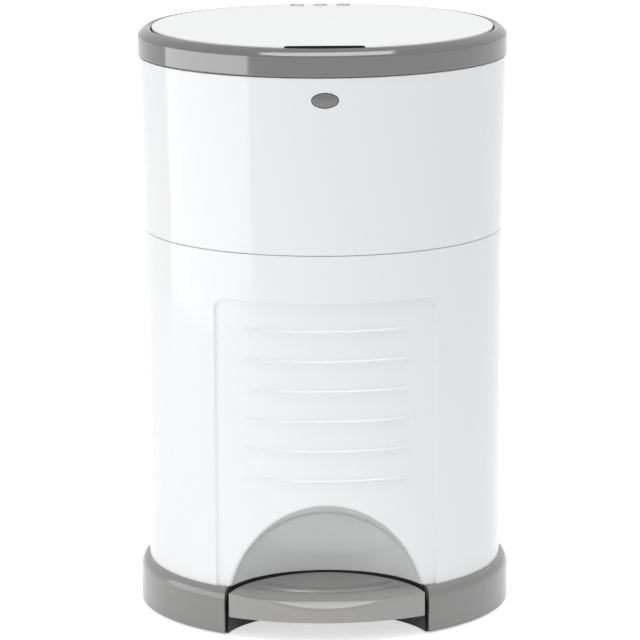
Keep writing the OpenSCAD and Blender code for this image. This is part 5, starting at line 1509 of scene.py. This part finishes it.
# Torsion springs close the trap doors, and a small compression spring lifts the button.
for name, middles, coil_r, wire_r, turns, body in (
        ("door_springs", (-77.0, 77.0), 4.6, 0.3, 3.0, "upper_section"),
        ("button_spring", (0.0,), 3.8, 0.2, 2.0, "button")):
    low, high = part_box(name)
    spots = [(x, low[1] / MM + wire_r, (low[2] + high[2]) / 2 / MM) for x in middles]
    rise = (high[1] - low[1]) / MM - 2 * wire_r
    place_hardware(name + "_wound", spring_tree, spots, rearward,
                   {"Coil Radius": coil_r, "Wire Radius": wire_r, "Turns": turns,
                    "Height": rise}, body, (name,))

# Four rubber feet are glued in the corners of the base pan, grooved underneath.
foot_r, foot_h, groove = 9.0, 1.5, 0.35
foot_profile = round_corners(
    [(foot_r, 0.0, 0.3), (foot_r, foot_h), (0.0, foot_h), (0.0, groove), (2.2, groove),
     (2.4, 0.0), (4.0, 0.0), (4.2, groove), (5.4, groove), (5.6, 0.0)], 0.08, 2)
feet = []
for x, y, _ in around_axis(boss_at, 45, 4, 0):
    spun, faces = turned(foot_profile, 36)
    feet.append(([(p + x, q + y, z) for p, q, z in spun], faces))
finish_mesh("grooved_feet", *joined(*feet), "root", "rubber", ("rubber_feet",))

# The film is packed round the throat in fine level pleats.
low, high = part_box("film_pack")
film_low, film_high, film_out, film_in_r = low[2] / MM, high[2] / MM, high[0] / MM, 99.5
pleats, outer_depth, inner_depth, fold_round = 20, 1.5, 1.2, 0.25
pleat_h = (film_high - film_low) / pleats
outer_fold = [(film_out - (0.0 if k % 2 else outer_depth), film_low + pleat_h * k / 2, fold_round)
              for k in range(2 * pleats + 1)]
inner_fold = [(film_in_r + (0.0 if k % 2 else inner_depth), film_high - pleat_h * k / 2, fold_round)
              for k in range(2 * pleats + 1)]
finish_mesh("pleated_film", *turned(round_corners(outer_fold + inner_fold, 0.2, 2), 180),
            "upper_section", "film", ("film_pack",))

# The parts that keep the shape they were drawn with only take their finish.
slot_of_node = {
    "inner_white": ("rod_channel", "latch_strike", "hopper", "throat_sleeve", "lid_inner",
                    "upper_rod_guide", "button_guide", "latch_bracket"),
    "inner_grey": ("cassette_tray", "left_trap_door", "right_trap_door"),
    "mechanism_grey": ("lower_push_rod", "upper_push_rod", "door_yoke", "left_door_crank",
                       "right_door_crank", "film_cutter", "latch_lever"),
    "black_plastic": ("base_pan",),
    "rubber": ("hopper_gasket",),
    "steel": ("pedal_axle", "hinge_pin", "pedal_lever", "lid_hinge_pin", "latch_pin",
              "cutter_blade"),
}
for slot, names in slot_of_node.items():
    for name in names:
        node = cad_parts[name]
        for place in node.material_slots:
            place.material = finishes[slot]
